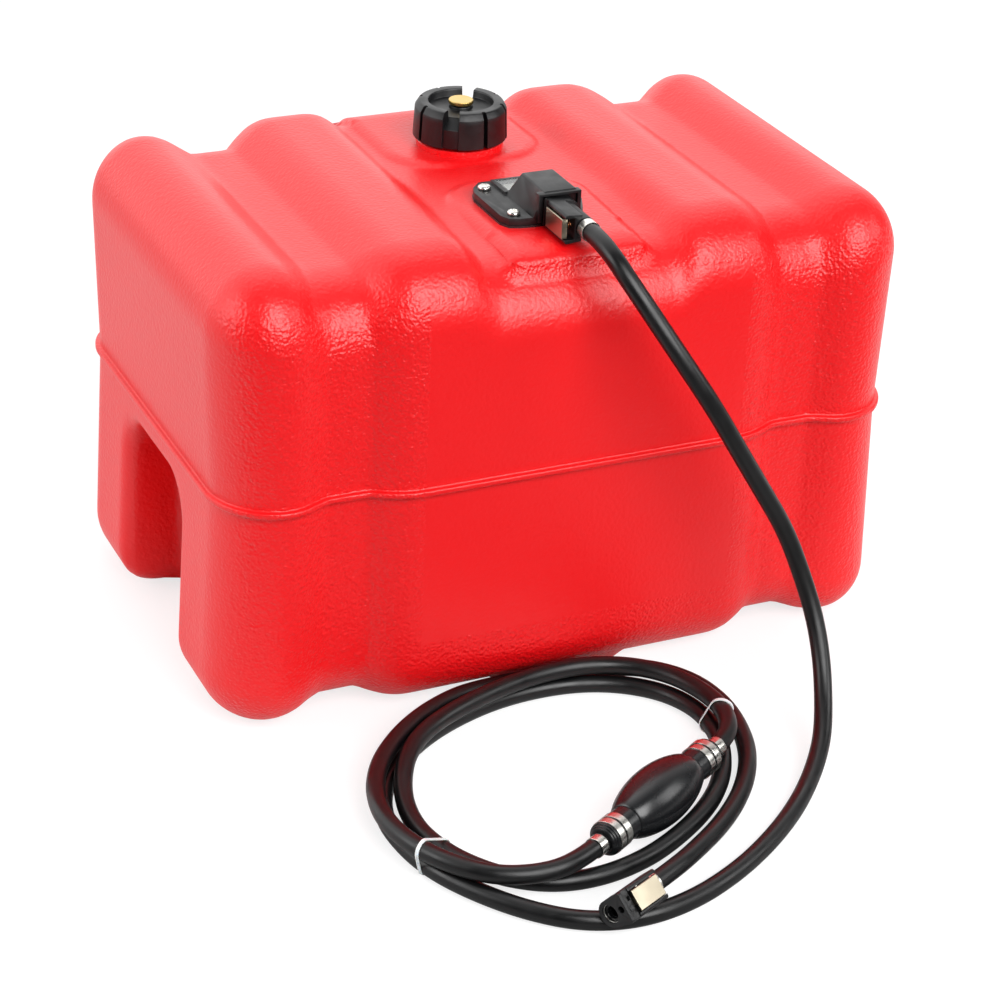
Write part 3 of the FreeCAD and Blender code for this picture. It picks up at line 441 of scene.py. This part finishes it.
hoseSet = {"radius": 6.75, "supplyExit": (0.0045, -0.147, 0.3568), "supplyLength": 2.13,
           "engineExit": (-0.084377, -0.396923, 0.023), "engineLength": 0.873}
supplyPoints = [
    (4.5, -147, 356.8), (4.5, -168, 356.8), (6.8, -187, 350.5), (12.2, -201.5, 338), (20.3, -210.3, 324.1),
    (30.9, -225.6, 304.2), (45.8, -237.5, 279.2), (64, -244, 250.9), (85.5, -245.2, 215.6),
    (108.2, -244, 179.9), (130.3, -245.4, 144), (143.4, -251.7, 110.2), (150.6, -264.7, 79.4),
    (149.5, -282.6, 52.4), (140.4, -305.4, 30.1), (128.7, -326.4, 17.5), (115.3, -343.5, 10.9),
    (95.9, -364.7, 6.8), (68.3, -391.5, 6.8), (34.5, -417.5, 6.8), (-3.8, -440.6, 6.8), (-46.6, -458.1, 6.8),
    (-88.1, -463, 6.8), (-124, -452.9, 6.8), (-152.8, -429.9, 7.3), (-176.2, -400.4, 7.9),
    (-193.6, -367, 7.6),
    (-201.5, -330.6, 6.8), (-201, -293, 6.8), (-185, -259, 6.8), (-161, -233, 6.8), (-134, -213, 6.8),
    (-103, -198, 6.8), (-69.1, -187.2, 6.8), (-32, -183.5, 6.8), (3.9, -187.5, 6.8), (34.5, -201.5, 6.8),
    (57.5, -225.7, 7.6), (68, -257.9, 7.9), (64, -291, 7.3), (51.5, -320.5, 6.8), (33, -347, 6.8),
    (9, -369.5, 6.8), (-20, -388.5, 6.8), (-53, -404.5, 6.8), (-89.4, -412.2, 6.8), (-122.1, -408.5, 6.8),
    (-149.5, -393, 7.4), (-169, -370, 7.9), (-181, -342, 7.4), (-185, -311.4, 6.8), (-181.2, -281.8, 10.5),
    (-169, -255.5, 18.7), (-150, -233.5, 20.9), (-126, -216.5, 20.9), (-97, -203, 20.9), (-64, -192, 20.9),
    (-29, -185, 20.9), (5, -185.5, 20.9), (36, -197, 20.9), (58.5, -219.5, 21.6), (70, -248, 22.2),
    (72.5, -276, 23.2), (66.5, -299.5, 23.2), (51.902, -316.968, 23), (36.377, -326.077, 23)]
enginePoints = [
    (-84.377, -396.923, 23), (-108.528, -411.092, 23), (-137, -414, 22), (-167, -403.5, 21.4),
    (-189, -381, 21.9), (-203, -353, 21.4), (-209.4, -321, 20.7), (-204.7, -288.2, 20.7),
    (-190.3, -257.5, 20.7), (-166.9, -229.8, 20.4), (-135.8, -203.6, 18.3), (-100.2, -181.6, 13.8),
    (-71, -171.5, 9.4), (-38, -168.3, 7.2), (-4, -168, 6.8), (31, -172.5, 6.8), (62, -187, 6.8),
    (81.6, -213.3, 7.6), (88.8, -245.4, 7.9), (86.3, -278, 7.3), (77, -309.6, 6.8), (61.2, -338, 6.8),
    (39.3, -364.8, 7.3), (10.8, -391.4, 9.8), (-22, -417.5, 15.6), (-51.822, -439.495, 21.4),
    (-79.802, -452.841, 21.4)]


# A hose is one NURBS line through its control points, with a round section
def hosePiece(name, points):
    curve = bpy.data.curves.new(name, "CURVE")
    curve.dimensions = "3D"
    spline = curve.splines.new("NURBS")
    spline.points.add(len(points) - 1)
    for point, (x, y, z) in zip(spline.points, points):
        point.co = (x * mm, y * mm, z * mm, 1)
    spline.order_u = 3
    spline.use_endpoint_u = True
    spline.resolution_u = 10
    curve.bevel_depth = hoseSet["radius"] * mm
    curve.bevel_resolution = 7
    curve.use_fill_caps = True
    obj = bpy.data.objects.new(name, curve)
    bpy.context.collection.objects.link(obj)
    setMaterial(obj, hoseRubber)
    return obj


supplyHose = hosePiece("supplyHose", supplyPoints)
engineHose = hosePiece("engineHose", enginePoints)
for piece, node in ((supplyHose, "supply_hose"), (engineHose, "engine_hose")):
    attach(piece, "tank")
    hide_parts(node)
print("hoses laid")

# ---- tank skin

tankSet = {"halfLength": 266.2, "flareUp": 0.025, "flareDown": 0.046, "halfDepth": 174, "height": 355,
           "upright": 52, "top": 52, "bottom": 42, "grooveTop": 17, "grooveSide": 12.8, "grooveBottom": 8,
           "channel": 13.2, "channelFront": 3.3, "plateau": 345, "recessHalf": 62, "recessTop": 158,
           "recessCorner": 30, "recessBack": 222, "recessFloor": 9, "mouth": 12, "footFlare": 14,
           "footTall": 22, "seam": 184, "backMost": 177.8, "blockHalf": 270}
# the two plateaus on top: half width, depth along y and rounded corners
plateauSet = {"tongueHalf": 61, "tongueFrom": 25, "tongueCorner": 38, "seatHalf": 53, "seatMiddle": -82.5,
              "seatHalfDepth": 70.5, "seatCorner": 34, "seatFrontCorner": 10, "blend": 3, "lidLess": 8}

# share of the groove's and the channel's depth at each distance from the tank's middle
grooveProfile = [(108, 0), (122, 0), (129, .02), (135, .10), (141, .22), (150.5, .55), (161, 1), (193, 1),
                 (203, .65), (211, .36), (219, .19), (227, .10), (236, .03), (246, 0)]
channelProfile = [(71, 1), (75, .8), (79.5, .53), (84, .27), (88, .13), (92, .05), (98, 0)]
# height and overhang of each line of the parting bead
beadLines = [(180.4, 0), (181.4, .25), (181.7, 1.6), (181.8, 2.9), (182.2, 3.55), (183.0, 3.8), (185.0, 3.8),
             (185.8, 3.55), (186.2, 2.9), (186.3, 1.6), (186.6, .25), (187.6, 0)]


# A profile given by a few points, rounded by a bell of the given width in mm
def roundedProfile(points, width):
    xs = np.arange(0, 300, 0.5)
    bell = np.exp(-0.5 * (np.arange(-20, 20.5, 0.5) / width) ** 2)
    ys = np.interp(xs, *zip(*points))
    ys = np.convolve(np.pad(ys, 40, mode="edge"), bell / bell.sum(), mode="valid")
    return lambda x: np.interp(np.abs(x), xs, ys)


grooveShare = roundedProfile(grooveProfile, 1.6)
channelShare = roundedProfile(channelProfile, 1.4)


# Distance to where two solids overlap, their common edge rounded to radius r
def roundMeet(a, b, r):
    return np.minimum(-r, np.maximum(a, b)) + np.hypot(np.maximum(r + a, 0), np.maximum(r + b, 0))


# Distance to two solids together, the corner between them filled to radius r
def roundJoin(a, b, r):
    return np.maximum(r, np.minimum(a, b)) - np.hypot(np.maximum(r - a, 0), np.maximum(r - b, 0))


# Distance to a rectangle with rounded corners, given the distances past its two sides
def roundedCorner(a, b, r):
    return np.hypot(np.maximum(a + r, 0), np.maximum(b + r, 0)) + np.minimum(np.maximum(a + r, b + r), 0) - r


def ease(t):
    t = np.clip(t, 0, 1)
    return t * t * (3 - 2 * t)


def tankTop(x, y):
    channel = tankSet["channel"] + tankSet["channelFront"] * ease((-50 - y) / 70)
    return tankSet["height"] - tankSet["grooveTop"] * grooveShare(x) - channel * channelShare(x)


def tankLength(z):
    rise = z - tankSet["seam"]
    return (tankSet["halfLength"] + tankSet["flareUp"] * np.maximum(rise, 0)
            + tankSet["flareDown"] * np.maximum(-rise, 0))


# Height above the moulding's surface, negative inside: a rounded box whose sides follow the rib profile,
# joined with the two plateaus on top and met with what is outside the two hand recesses
def tankDistance(p):
    x, y, z = p[:, 0], p[:, 1], p[:, 2]
    groove = grooveShare(x)
    sides = roundedCorner(np.abs(x) - tankLength(z),
                          np.abs(y) - tankSet["halfDepth"] + tankSet["grooveSide"] * groove,
                          tankSet["upright"])
    body = roundMeet(sides, z - tankTop(x, y), tankSet["top"])
    body = roundMeet(body, tankSet["grooveBottom"] * groove - z, tankSet["bottom"])
    lid = roundMeet(np.abs(y) - tankSet["halfDepth"], z - tankSet["plateau"],
                    tankSet["top"] - plateauSet["lidLess"])
    tongue = roundedCorner(np.abs(x) - plateauSet["tongueHalf"], plateauSet["tongueFrom"] - y,
                           plateauSet["tongueCorner"])
    seatSides = np.abs(x) - plateauSet["seatHalf"]
    seatEnds = np.abs(y - plateauSet["seatMiddle"]) - plateauSet["seatHalfDepth"]
    seat = np.where(y < plateauSet["seatMiddle"],
                    roundedCorner(seatSides, seatEnds, plateauSet["seatFrontCorner"]),
                    roundedCorner(seatSides, seatEnds, plateauSet["seatCorner"]))
    for plateau in (tongue, seat):
        body = roundJoin(body, roundMeet(plateau, lid, plateauSet["blend"]), plateauSet["blend"])
    flare = tankSet["footFlare"] * np.clip((tankSet["footTall"] - z) / tankSet["footTall"], 0, 1) ** 2
    arch = roundedCorner(np.abs(y) - tankSet["recessHalf"] - flare, z - tankSet["recessTop"],
                         tankSet["recessCorner"])
    hollow = roundMeet(arch, tankSet["recessBack"] - np.abs(x), tankSet["recessFloor"])
    return roundMeet(body, -hollow, tankSet["mouth"])


# Slope of a distance by central differences
def slopeOf(distance, p, h=0.05):
    steps = np.eye(3) * h
    return np.stack([(distance(p + s) - distance(p - s)) / (2 * h) for s in steps], axis=1)


# Quads on the outside of the filled cells of a grid: one wherever a filled cell meets an empty one
def blockSurface(filled):
    quads = []
    ny, nz = filled.shape[1] + 1, filled.shape[2] + 1
    for axis in range(3):
        cells = np.moveaxis(np.pad(filled, 1), axis, 0).astype(int)
        change = cells[1:] - cells[:-1]
        for sign in (1, -1):
            i, j, k = np.nonzero(change == sign)
            corners = []
            for dj, dk in ((0, 0), (1, 0), (1, 1), (0, 1)):
                index = [j - 1 + dj, k - 1 + dk]
                index.insert(axis, i)
                corners.append((index[0] * ny + index[1]) * nz + index[2])
            quad = np.stack(corners, axis=1)
            quads.append(quad[:, ::-1] if (sign == 1) != (axis == 1) else quad)
    return np.concatenate(quads)


# Grid lines from runs of (start, end, number of steps)
def gridLines(runs):
    return np.unique(np.round(np.concatenate([np.linspace(a, b, n + 1) for a, b, n in runs]), 3))


# Lines near a rounded edge, at r tan(angle) from where the arc starts, so that they meet the arc evenly
def arcLines(start, end, steps):
    return start + (end - start) * np.tan(np.linspace(0, math.pi / 4, steps + 1))


xHalf = np.concatenate([gridLines([(0, 66, 24), (66, 100, 11), (100, 122, 4), (122, 162, 15), (162, 192, 6),
                                   (192, 218, 10)]), [222], arcLines(218, 270, 12)[2:], [262.5]])
xLines = np.unique(np.round(np.concatenate([-xHalf, xHalf]), 3))
yHalf = np.concatenate([arcLines(32, 62, 9), gridLines([(62, 74, 4)]), arcLines(122, 174, 12)])
yLines = np.unique(np.round(np.concatenate([-yHalf, yHalf, gridLines([(-122, -74, 16), (-32, 32, 20),
                                                                      (74, 122, 11)])]), 3))
zLines = np.concatenate([arcLines(42, 0, 10), gridLines([(42, 128, 15)]), arcLines(128, 158, 9),
                         gridLines([(158, 170, 4), (170, 178, 2)]), [z for z, out in beadLines],
                         gridLines([(191, 303, 19)]), arcLines(303, 355, 12)])
zLines = np.unique(np.round(zLines, 3))
xMid, yMid, zMid = ((a[1:] + a[:-1]) / 2 for a in (xLines, yLines, zLines))
filled = ~((np.abs(xMid)[:, None, None] > tankSet["recessBack"])
           & (np.abs(yMid)[None, :, None] < tankSet["recessHalf"])
           & (zMid[None, None, :] < tankSet["recessTop"]))
quads = blockSurface(filled)
used, quads = np.unique(quads, return_inverse=True)
quads = quads.reshape(-1, 4)
iz = used % len(zLines)
iy = used // len(zLines) % len(yLines)
ix = used // len(zLines) // len(yLines)
p = np.stack([xLines[ix], yLines[iy], zLines[iz]], axis=1)

# near a hand recess the grid bends round the arch's corners: squares of half size m become arcs of radius m
turn = np.stack([np.abs(p[:, 1]) - tankSet["recessHalf"] + tankSet["recessCorner"],
                 p[:, 2] - tankSet["recessTop"] + tankSet["recessCorner"]], axis=1)
turn = np.maximum(turn, 0)
size = turn.max(axis=1)
far = np.hypot(turn[:, 0], turn[:, 1])
bend = np.where((np.abs(p[:, 0]) > 221) & (far > 0), 1 - ease((size - tankSet["recessCorner"]) / 18), 0)
pull = bend * (size / np.maximum(far, 1e-9) - 1)
p[:, 1] += np.sign(p[:, 1]) * turn[:, 0] * pull
p[:, 2] += turn[:, 1] * pull

# first guess: the block scaled to the rib profile's section
x, y, z = p.T
seam = tankSet["seam"]
top = tankTop(x, y)
low = tankSet["grooveBottom"] * grooveShare(x)
guess = np.stack([x * tankLength(z) / tankSet["blockHalf"],
                  y * (1 - tankSet["grooveSide"] * grooveShare(x) / tankSet["halfDepth"]),
                  np.where(z > seam, seam + (z - seam) * (top - seam) / (tankSet["height"] - seam),
                           seam - (seam - z) * (seam - low) / seam)], axis=1)
inside = (np.abs(x) < 269) & (np.abs(x) > 221) & (np.abs(y) < 75) & (z < 170)
guess[inside, 0] = x[inside]
# then Newton steps down the slope of the distance onto the surface
p = guess
for step in range(14):
    slope = slopeOf(tankDistance, p)
    reach = tankDistance(p) / np.maximum((slope ** 2).sum(axis=1), 0.25)
    p = p - slope * np.clip(reach, -8, 8)[:, None]

# the parting bead stands out sideways from its own lines
slope = slopeOf(tankDistance, p)
outward = slope[:, :2] / np.maximum(np.hypot(slope[:, 0], slope[:, 1]), 1e-9)[:, None]
for height, out in beadLines:
    row = (np.abs(zLines[iz] - height) < 0.01)
    p[row, :2] += outward[row] * out
    p[row, 2] = height
p[:, 1] = np.minimum(p[:, 1], tankSet["backMost"])
p[:, 2] = np.maximum(p[:, 2], 0)
tankSkin = meshPiece("tankSkin", p, quads, redPlastic, 70)
# the filler bore goes down round the flame screen's basket, which closes it at the foot
neckSet = {"bore": 22.55, "boreFoot": 320.5, "boreTop": 352, "threads": (353.0, 357.5, 362.0)}
plainAxes = np.eye(3)
neckSeat = ((0, 61.4, 0), plainAxes)
boreProfile = [(0, neckSet["boreFoot"]), (neckSet["bore"], neckSet["boreFoot"]),
               (neckSet["bore"], neckSet["boreTop"]), (0, neckSet["boreTop"])]
bore = turnedPiece("bore", boreProfile, neckSeat, redPlastic, 72)
tankSkin = carved(tankSkin, cuts=[bore], smoothAngle=70)
settle(tankSkin, "tank", "red_polyethylene", "tank_shell")
print("tank skin", len(p), "points", len(quads), "quads, worst",
      round(float(np.abs(tankDistance(p)).max()), 2))


# ---- filler neck

neckProfile = [(22.6, 344), (33, 344), (33, 348.8), (32.3, 349.5), (26.2, 349.5)]
for z in neckSet["threads"]:
    neckProfile += [(26.2, z), (27.6, z + 1.2), (27.6, z + 1.8), (26.2, z + 3)]
neckProfile += [(26.2, 367.4), (25.6, 368), (23.2, 368), (22.6, 367.4)]
fillerNeck = turnedPiece("fillerNeck", neckProfile, neckSeat, redPlastic)
settle(fillerNeck, "tank", "red_polyethylene", "tank_shell")

# ---- filler cap

# Eight lobes parted by deep narrow grooves; on two opposite sides a wide notch runs down over a sloping floor
capSet = {"bottom": 350, "top": 381, "deck": 373.5, "lowRadius": 36, "highRadius": 34.5, "groove": 1.5,
          "grooveRadius": 29.8, "notch": 6.0, "notchStep": 1.7, "shelf": 366.5, "ringFrom": 24.1,
          "slopeFrom": 23.4, "slopeWide": 9.6}


def wallRadius(z):
    share = (z - capSet["bottom"]) / (capSet["top"] - capSet["bottom"])
    return capSet["lowRadius"] + (capSet["highRadius"] - capSet["lowRadius"]) * share


capWall = [(wallRadius(z), z) for z in (352.6, 353.4, 357, 361, 365, 368, 371, 374.2)]
capProfile = [(28.4, 351.8), (34.9, 351.8), (35.5, 352.0)] + capWall + [
    (34.6, 374.9), (34.2, 375.6), (32.3, 378.6), (31.9, 379.0), (31.4, 379.3), (30.6, 379.4), (26.6, 379.4),
    (25.3, 379.3), (24.8, 378.9), (24.5, 378.2), (24.5, 374.3), (24.2, 373.7), (23.5, 373.5), (9.8, 373.5),
    (9.2, 373.7), (9, 374.2), (9, 375.4), (8.8, 375.8), (8.3, 376), (6, 376), (6, 370), (27.9, 370),
    (28.4, 369.5)]
capCentres = np.radians([9, 99, 144, 189, 279, 324])
notchCentres = np.radians([54, 234])


# How far inside a band about the nearest centre an angle lies, measured in mm at the rim:
# 1 inside, 0 outside, soft between
def bandShare(angle, centres, half, soft):
    away = np.abs((angle[..., None] - centres + math.pi) % (2 * math.pi) - math.pi).min(axis=-1)
    away = away * capSet["highRadius"]
    return np.clip((half + soft / 2 - away) / soft, 0, 1)


def capShape(angle, radius, height):
    groove = bandShare(angle, capCentres, capSet["groove"], 0.5)
    notch = bandShare(angle, notchCentres, capSet["notch"], 0.6)
    radius = radius - groove * np.maximum(radius - capSet["grooveRadius"], 0)
    radius = radius - notch * np.where(radius > 33, capSet["notchStep"], 0)
    slope = np.clip((radius - capSet["slopeFrom"]) / capSet["slopeWide"], 0, 1)
    floor = capSet["deck"] - (capSet["deck"] - capSet["shelf"]) * slope - (capSet["top"] - height) * 0.01
    ring = (radius > capSet["ringFrom"]) & (height > 366) & (height > floor)
    return radius, height + notch * np.where(ring, floor - height, 0)


capAngles = [np.arange(0, 360, 2.5)]
for centres, lines in ((capCentres, [-1.9, -1.75, -1.25, 1.25, 1.75, 1.9]),
                       (notchCentres, [-6.5, -6.3, -5.7, -5.5, 5.5, 5.7, 6.3, 6.5])):
    for centre in np.degrees(centres):
        capAngles.append(centre + np.degrees(np.array(lines) / capSet["highRadius"]))
capAngles = np.radians(np.unique(np.round(np.concatenate(capAngles) % 360, 3)))
filler = turnedPiece("fillerCap", capProfile, neckSeat, blackNylon, capAngles, capShape, 30)
settle(filler, "cap", "black_nylon", "filler_cap")

# Knurled brass head: 36 low rounded ridges round the rim, a flat top and a plain stem
screwSet = {"ridges": 36, "ridgeDepth": 0.2}
screwProfile = [(0, 366), (2.1, 366), (2.4, 366.3), (2.4, 376.9), (2.7, 377), (8.7, 377), (9.2, 377.2),
                (9.4, 377.5), (9.4, 379.5), (9.25, 379.8), (8.95, 380), (8.5, 380), (4, 380), (0, 380)]


def screwShape(angle, radius, height):
    ridge = np.abs(np.sin(angle * screwSet["ridges"] / 2))
    inward = screwSet["ridgeDepth"] * (1 - ridge) * (radius - 8.9) / 0.5
    return radius - np.where(radius > 9, inward, 0), height


ventScrew = turnedPiece("ventScrew", screwProfile, neckSeat, brass, 288, screwShape, 30)
settle(ventScrew, "vent_screw", "brass", "vent_screw")
print("cap and vent screw made")

# ---- outlet fitting

outletSet = {"edge": 0.55, "nippleEdge": 0.25, "slotEdge": 0.08}
outletHousing = softenedNode("outletHousing", "outlet_housing", blackNylon, outletSet["edge"])
settle(outletHousing, "tank", "black_nylon", "outlet_housing")

# Pan-head screws: a domed head with a cross recess
screwPlaces = [(-28, -46.5), (25.5, -46.5), (-28, -97.5), (26.5, -77)]
panProfile = [(0, 345), (2.2, 345), (2.2, 352.1), (4.6, 352.1), (4.8, 352.4), (4.8, 353.3), (4.6, 354.0),
              (4.0, 354.6), (3.0, 355.0), (1.6, 355.18), (0, 355.2)]
heads = []
for index, (x, y) in enumerate(screwPlaces):
    head = turnedPiece("panHead", panProfile, ((x, y, 0), plainAxes), stainless, 40)
    turned = math.radians(20 + 31 * index)
    arms = []
    for angle in (turned, turned + math.pi / 2):
        c, s = math.cos(angle), math.sin(angle)
        arm = roundedOutline([(-2.7, -0.55), (2.7, -0.55), (2.7, 0.55), (-2.7, 0.55)], 0.2, 2)
        seat = ((x, y, 0), ((c, s, 0), (-s, c, 0), (0, 0, 1)))
        arms.append(blockPiece("arm", arm, [(353.7, 0.25), (356, -0.1)], seat, stainless))
    heads.append(carved(head, cuts=arms, bevel=outletSet["slotEdge"]))
points = np.concatenate([[v.co[:] for v in head.data.vertices] for head in heads]) / mm
faces, first = [], 0
for head in heads:
    faces += [[first + v for v in face.vertices] for face in head.data.polygons]
    first += len(head.data.vertices)
    bpy.data.objects.remove(head)
panHeads = meshPiece("panHeads", points, faces, stainless, 40)
settle(panHeads, "tank", "stainless", "outlet_screws")
outletNipple = softenedNode("outletNipple", "outlet_nipple", nickel, outletSet["nippleEdge"])
settle(outletNipple, "tank", "nickel", "outlet_nipple")
print("outlet fitting made")

# ---- quick connectors

connectorSet = {"bodyEdge": 0.4, "latchEdge": 0.18, "ringRadius": 6.15, "ringWidth": 0.42, "engineTurn": 25.5,
                "engineRoll": 47}
engineTurn, engineRoll = math.radians(connectorSet["engineTurn"]), math.radians(connectorSet["engineRoll"])
engineAlong = np.array([math.cos(engineTurn), math.sin(engineTurn), 0])
engineUp = np.array([math.sin(engineRoll) * math.sin(engineTurn),
                     -math.sin(engineRoll) * math.cos(engineTurn), math.cos(engineRoll)])
# each connector's mouth, the way along it and the way up towards its latch plate
mouths = {"tank": ((4.5, -109.2, 356.8), (0, -1, 0), (-1, 0, 0)),
          "engine": ((-114.1, -469.2, 21.4), engineAlong, engineUp)}
mouthSeats = {}
for side, (mouth, along, up) in mouths.items():
    mouthSeats[side] = (mouth, np.array([up, np.cross(along, up), along]))
    prefix = side + "_connector_"
    shell = softenedNode(side + "ConnectorBody", prefix + "body", blackNylon, connectorSet["bodyEdge"])
    settle(shell, "tank", "black_nylon", prefix + "body")
    plate = softenedNode(side + "LatchPlate", prefix + "latch", nickel, connectorSet["latchEdge"])
    settle(plate, side + "_latch", "nickel", prefix + "latch")
    r, w = connectorSet["ringRadius"], connectorSet["ringWidth"]
    ringLoop = roundedOutline([(r, 1.4), (r + w, 1.4), (r + w, 2.2), (r, 2.2)], 0.15, 3)
    ring = turnedPiece(side + "SocketRing", ringLoop, mouthSeats[side], stainless, 64)
    settle(ring, "tank", "stainless")
print("connectors made")

# ---- primer bulb and its bands

bulbSet = {"centre": (-24, -361.5, 23), "angle": 30.4, "radius": 21.8, "neck": 12.0, "half": 40.0,
           "seam": 0.28, "seamHalf": 0.5, "bandThick": 0.6, "ear": 0.9}
lean = math.radians(bulbSet["angle"])
bulbAxes = np.array([(-math.sin(lean), math.cos(lean), 0), (0, 0, 1), (math.cos(lean), math.sin(lean), 0)])
bulbSeat = (bulbSet["centre"], bulbAxes)


# Lemon shape: the neck's radius plus the power 0.65 of a cosine over the middle
def bulbRadius(s):
    swell = np.clip(np.cos(math.pi / 2 * s / bulbSet["half"]), 0, 1) ** 0.65
    return bulbSet["neck"] + (bulbSet["radius"] - bulbSet["neck"]) * swell


# Parting lines of the mould: a low ridge along both sides, fading into the necks
def bulbShape(angle, radius, height):
    side = np.abs(np.sin(angle)) * radius
    ridge = np.clip(1.4 - side / bulbSet["seamHalf"], 0, 1) * bulbSet["seam"]
    return radius + np.where((radius > 8), ridge, 0), height


waist = bulbSet["half"] * np.sin(np.linspace(-math.pi / 2, math.pi / 2, 61))
bulbProfile = [(7.6, -64.8), (11.6, -64.8), (12, -64.4)]
bulbProfile += [(r, s) for r, s in zip(bulbRadius(waist), waist)]
bulbProfile += [(12, 64.4), (11.6, 64.8), (7.6, 64.8)]
seamLines = np.array([-0.06, -0.045, -0.03, -0.02, 0.02, 0.03, 0.045, 0.06])
bulbAngles = np.unique(np.round(np.concatenate([np.linspace(0, 2 * math.pi, 120, endpoint=False),
                                                seamLines % (2 * math.pi), seamLines + math.pi]), 4))
bulb = turnedPiece("primerBulb", bulbProfile, bulbSeat, bulbRubber, bulbAngles, bulbShape, 30)
settle(bulb, "tank", "black_rubber", "primer_bulb")

# Ribbed collars: rounded ribs that step down to the hose
collarCorners = [(7.5, 65), (12.2, 65), (12.2, 66.5), (11, 66.9), (11, 68.1), (9.9, 68.5), (9.9, 69.5),
                 (8.6, 70), (4, 70), (4, 66)]
collarLoop = roundedOutline(collarCorners, [0.1, .5, .5, .2, .4, .2, .4, .1, .1, .1], 4)
for sign, name, node in ((1, "inletCollar", "bulb_inlet_fitting"),
                         (-1, "outletCollar", "bulb_outlet_fitting")):
    seat = (bulbSet["centre"], bulbAxes * np.array([[sign], [1], [sign]]))
    collar = turnedPiece(name, collarLoop, seat, bulbRubber, 96, None, 40)
    settle(collar, "tank", "black_nylon", node)


# A steel band: a rounded strip carried round its seat, doubled over part of the way, with a raised ear.
# Its radius is the hose's plus the strip, plus 0.35 mm where it is doubled, plus the ear's height on the ear.
def bandPiece(name, seat, radius, width, ear):
    t = bulbSet["bandThick"]
    half, lug = width / 2, width * 0.24
    rows = [-half + 0.25, -half + 0.08, -half, -half, -half + 0.08, -half + 0.25, -lug - 0.25, -lug, 0, lug,
            lug + 0.25, half - 0.25, half - 0.08, half, half, half - 0.08, half - 0.25]
    radii = [0, 0, 0.1, t - 0.1, t - 0.02] + [t] * 7 + [t - 0.02, t - 0.1, 0.1, 0, 0]
    edges = np.array([0.0, 0.04, 0.28, 0.32, 0.55, 0.59, 1.3, 1.34])
    angles = np.concatenate([np.linspace(0, 2 * math.pi, 72, endpoint=False), ear + edges])
    angles = np.unique(np.round(angles, 4))

    def strip(angle, r, z):
        past = (angle - ear) % (2 * math.pi)
        doubled = np.clip(past / 0.04, 0, 1) * np.clip((1.34 - past) / 0.04, 0, 1)
        raised = np.clip((past - 0.28) / 0.04, 0, 1) * np.clip((0.59 - past) / 0.04, 0, 1)
        raised = raised * (np.abs(z) < lug + 0.01)
        outside = r > radius + 0.3
        return r + np.where(outside, doubled * 0.35 + raised * bulbSet["ear"], 0), z

    loop = np.column_stack([radius + np.array(radii), rows])
    return turnedPiece(name, loop, seat, stainless, angles, strip, 30)


def bandSeat(seat, s):
    return (np.asarray(seat[0], float) + seat[1][2] * s, seat[1])


neckBands = [bandPiece("neckBand%d" % n, bandSeat(bulbSeat, s + 3), 12.05, 6, 4.4 + 0.5 * n)
             for n, s in enumerate((-64.5, -56.5, 50.5, 58.5))]
for piece in neckBands:
    settle(piece, "tank", "stainless", "bulb_neck_clamps")
clampSeats = [bandSeat(bulbSeat, -76), bandSeat(bulbSeat, 76)]
clampSeats += [bandSeat(mouthSeats[side], 43) for side in ("tank", "engine")]
for n, seat in enumerate(clampSeats):
    piece = bandPiece("hoseClamp%d" % n, seat, 6.85, 7.6, (4.6, 4.6, 2.2, 0.6)[n])
    settle(piece, "tank", "stainless", "hose_clamps")
print("bulb, collars and bands made")
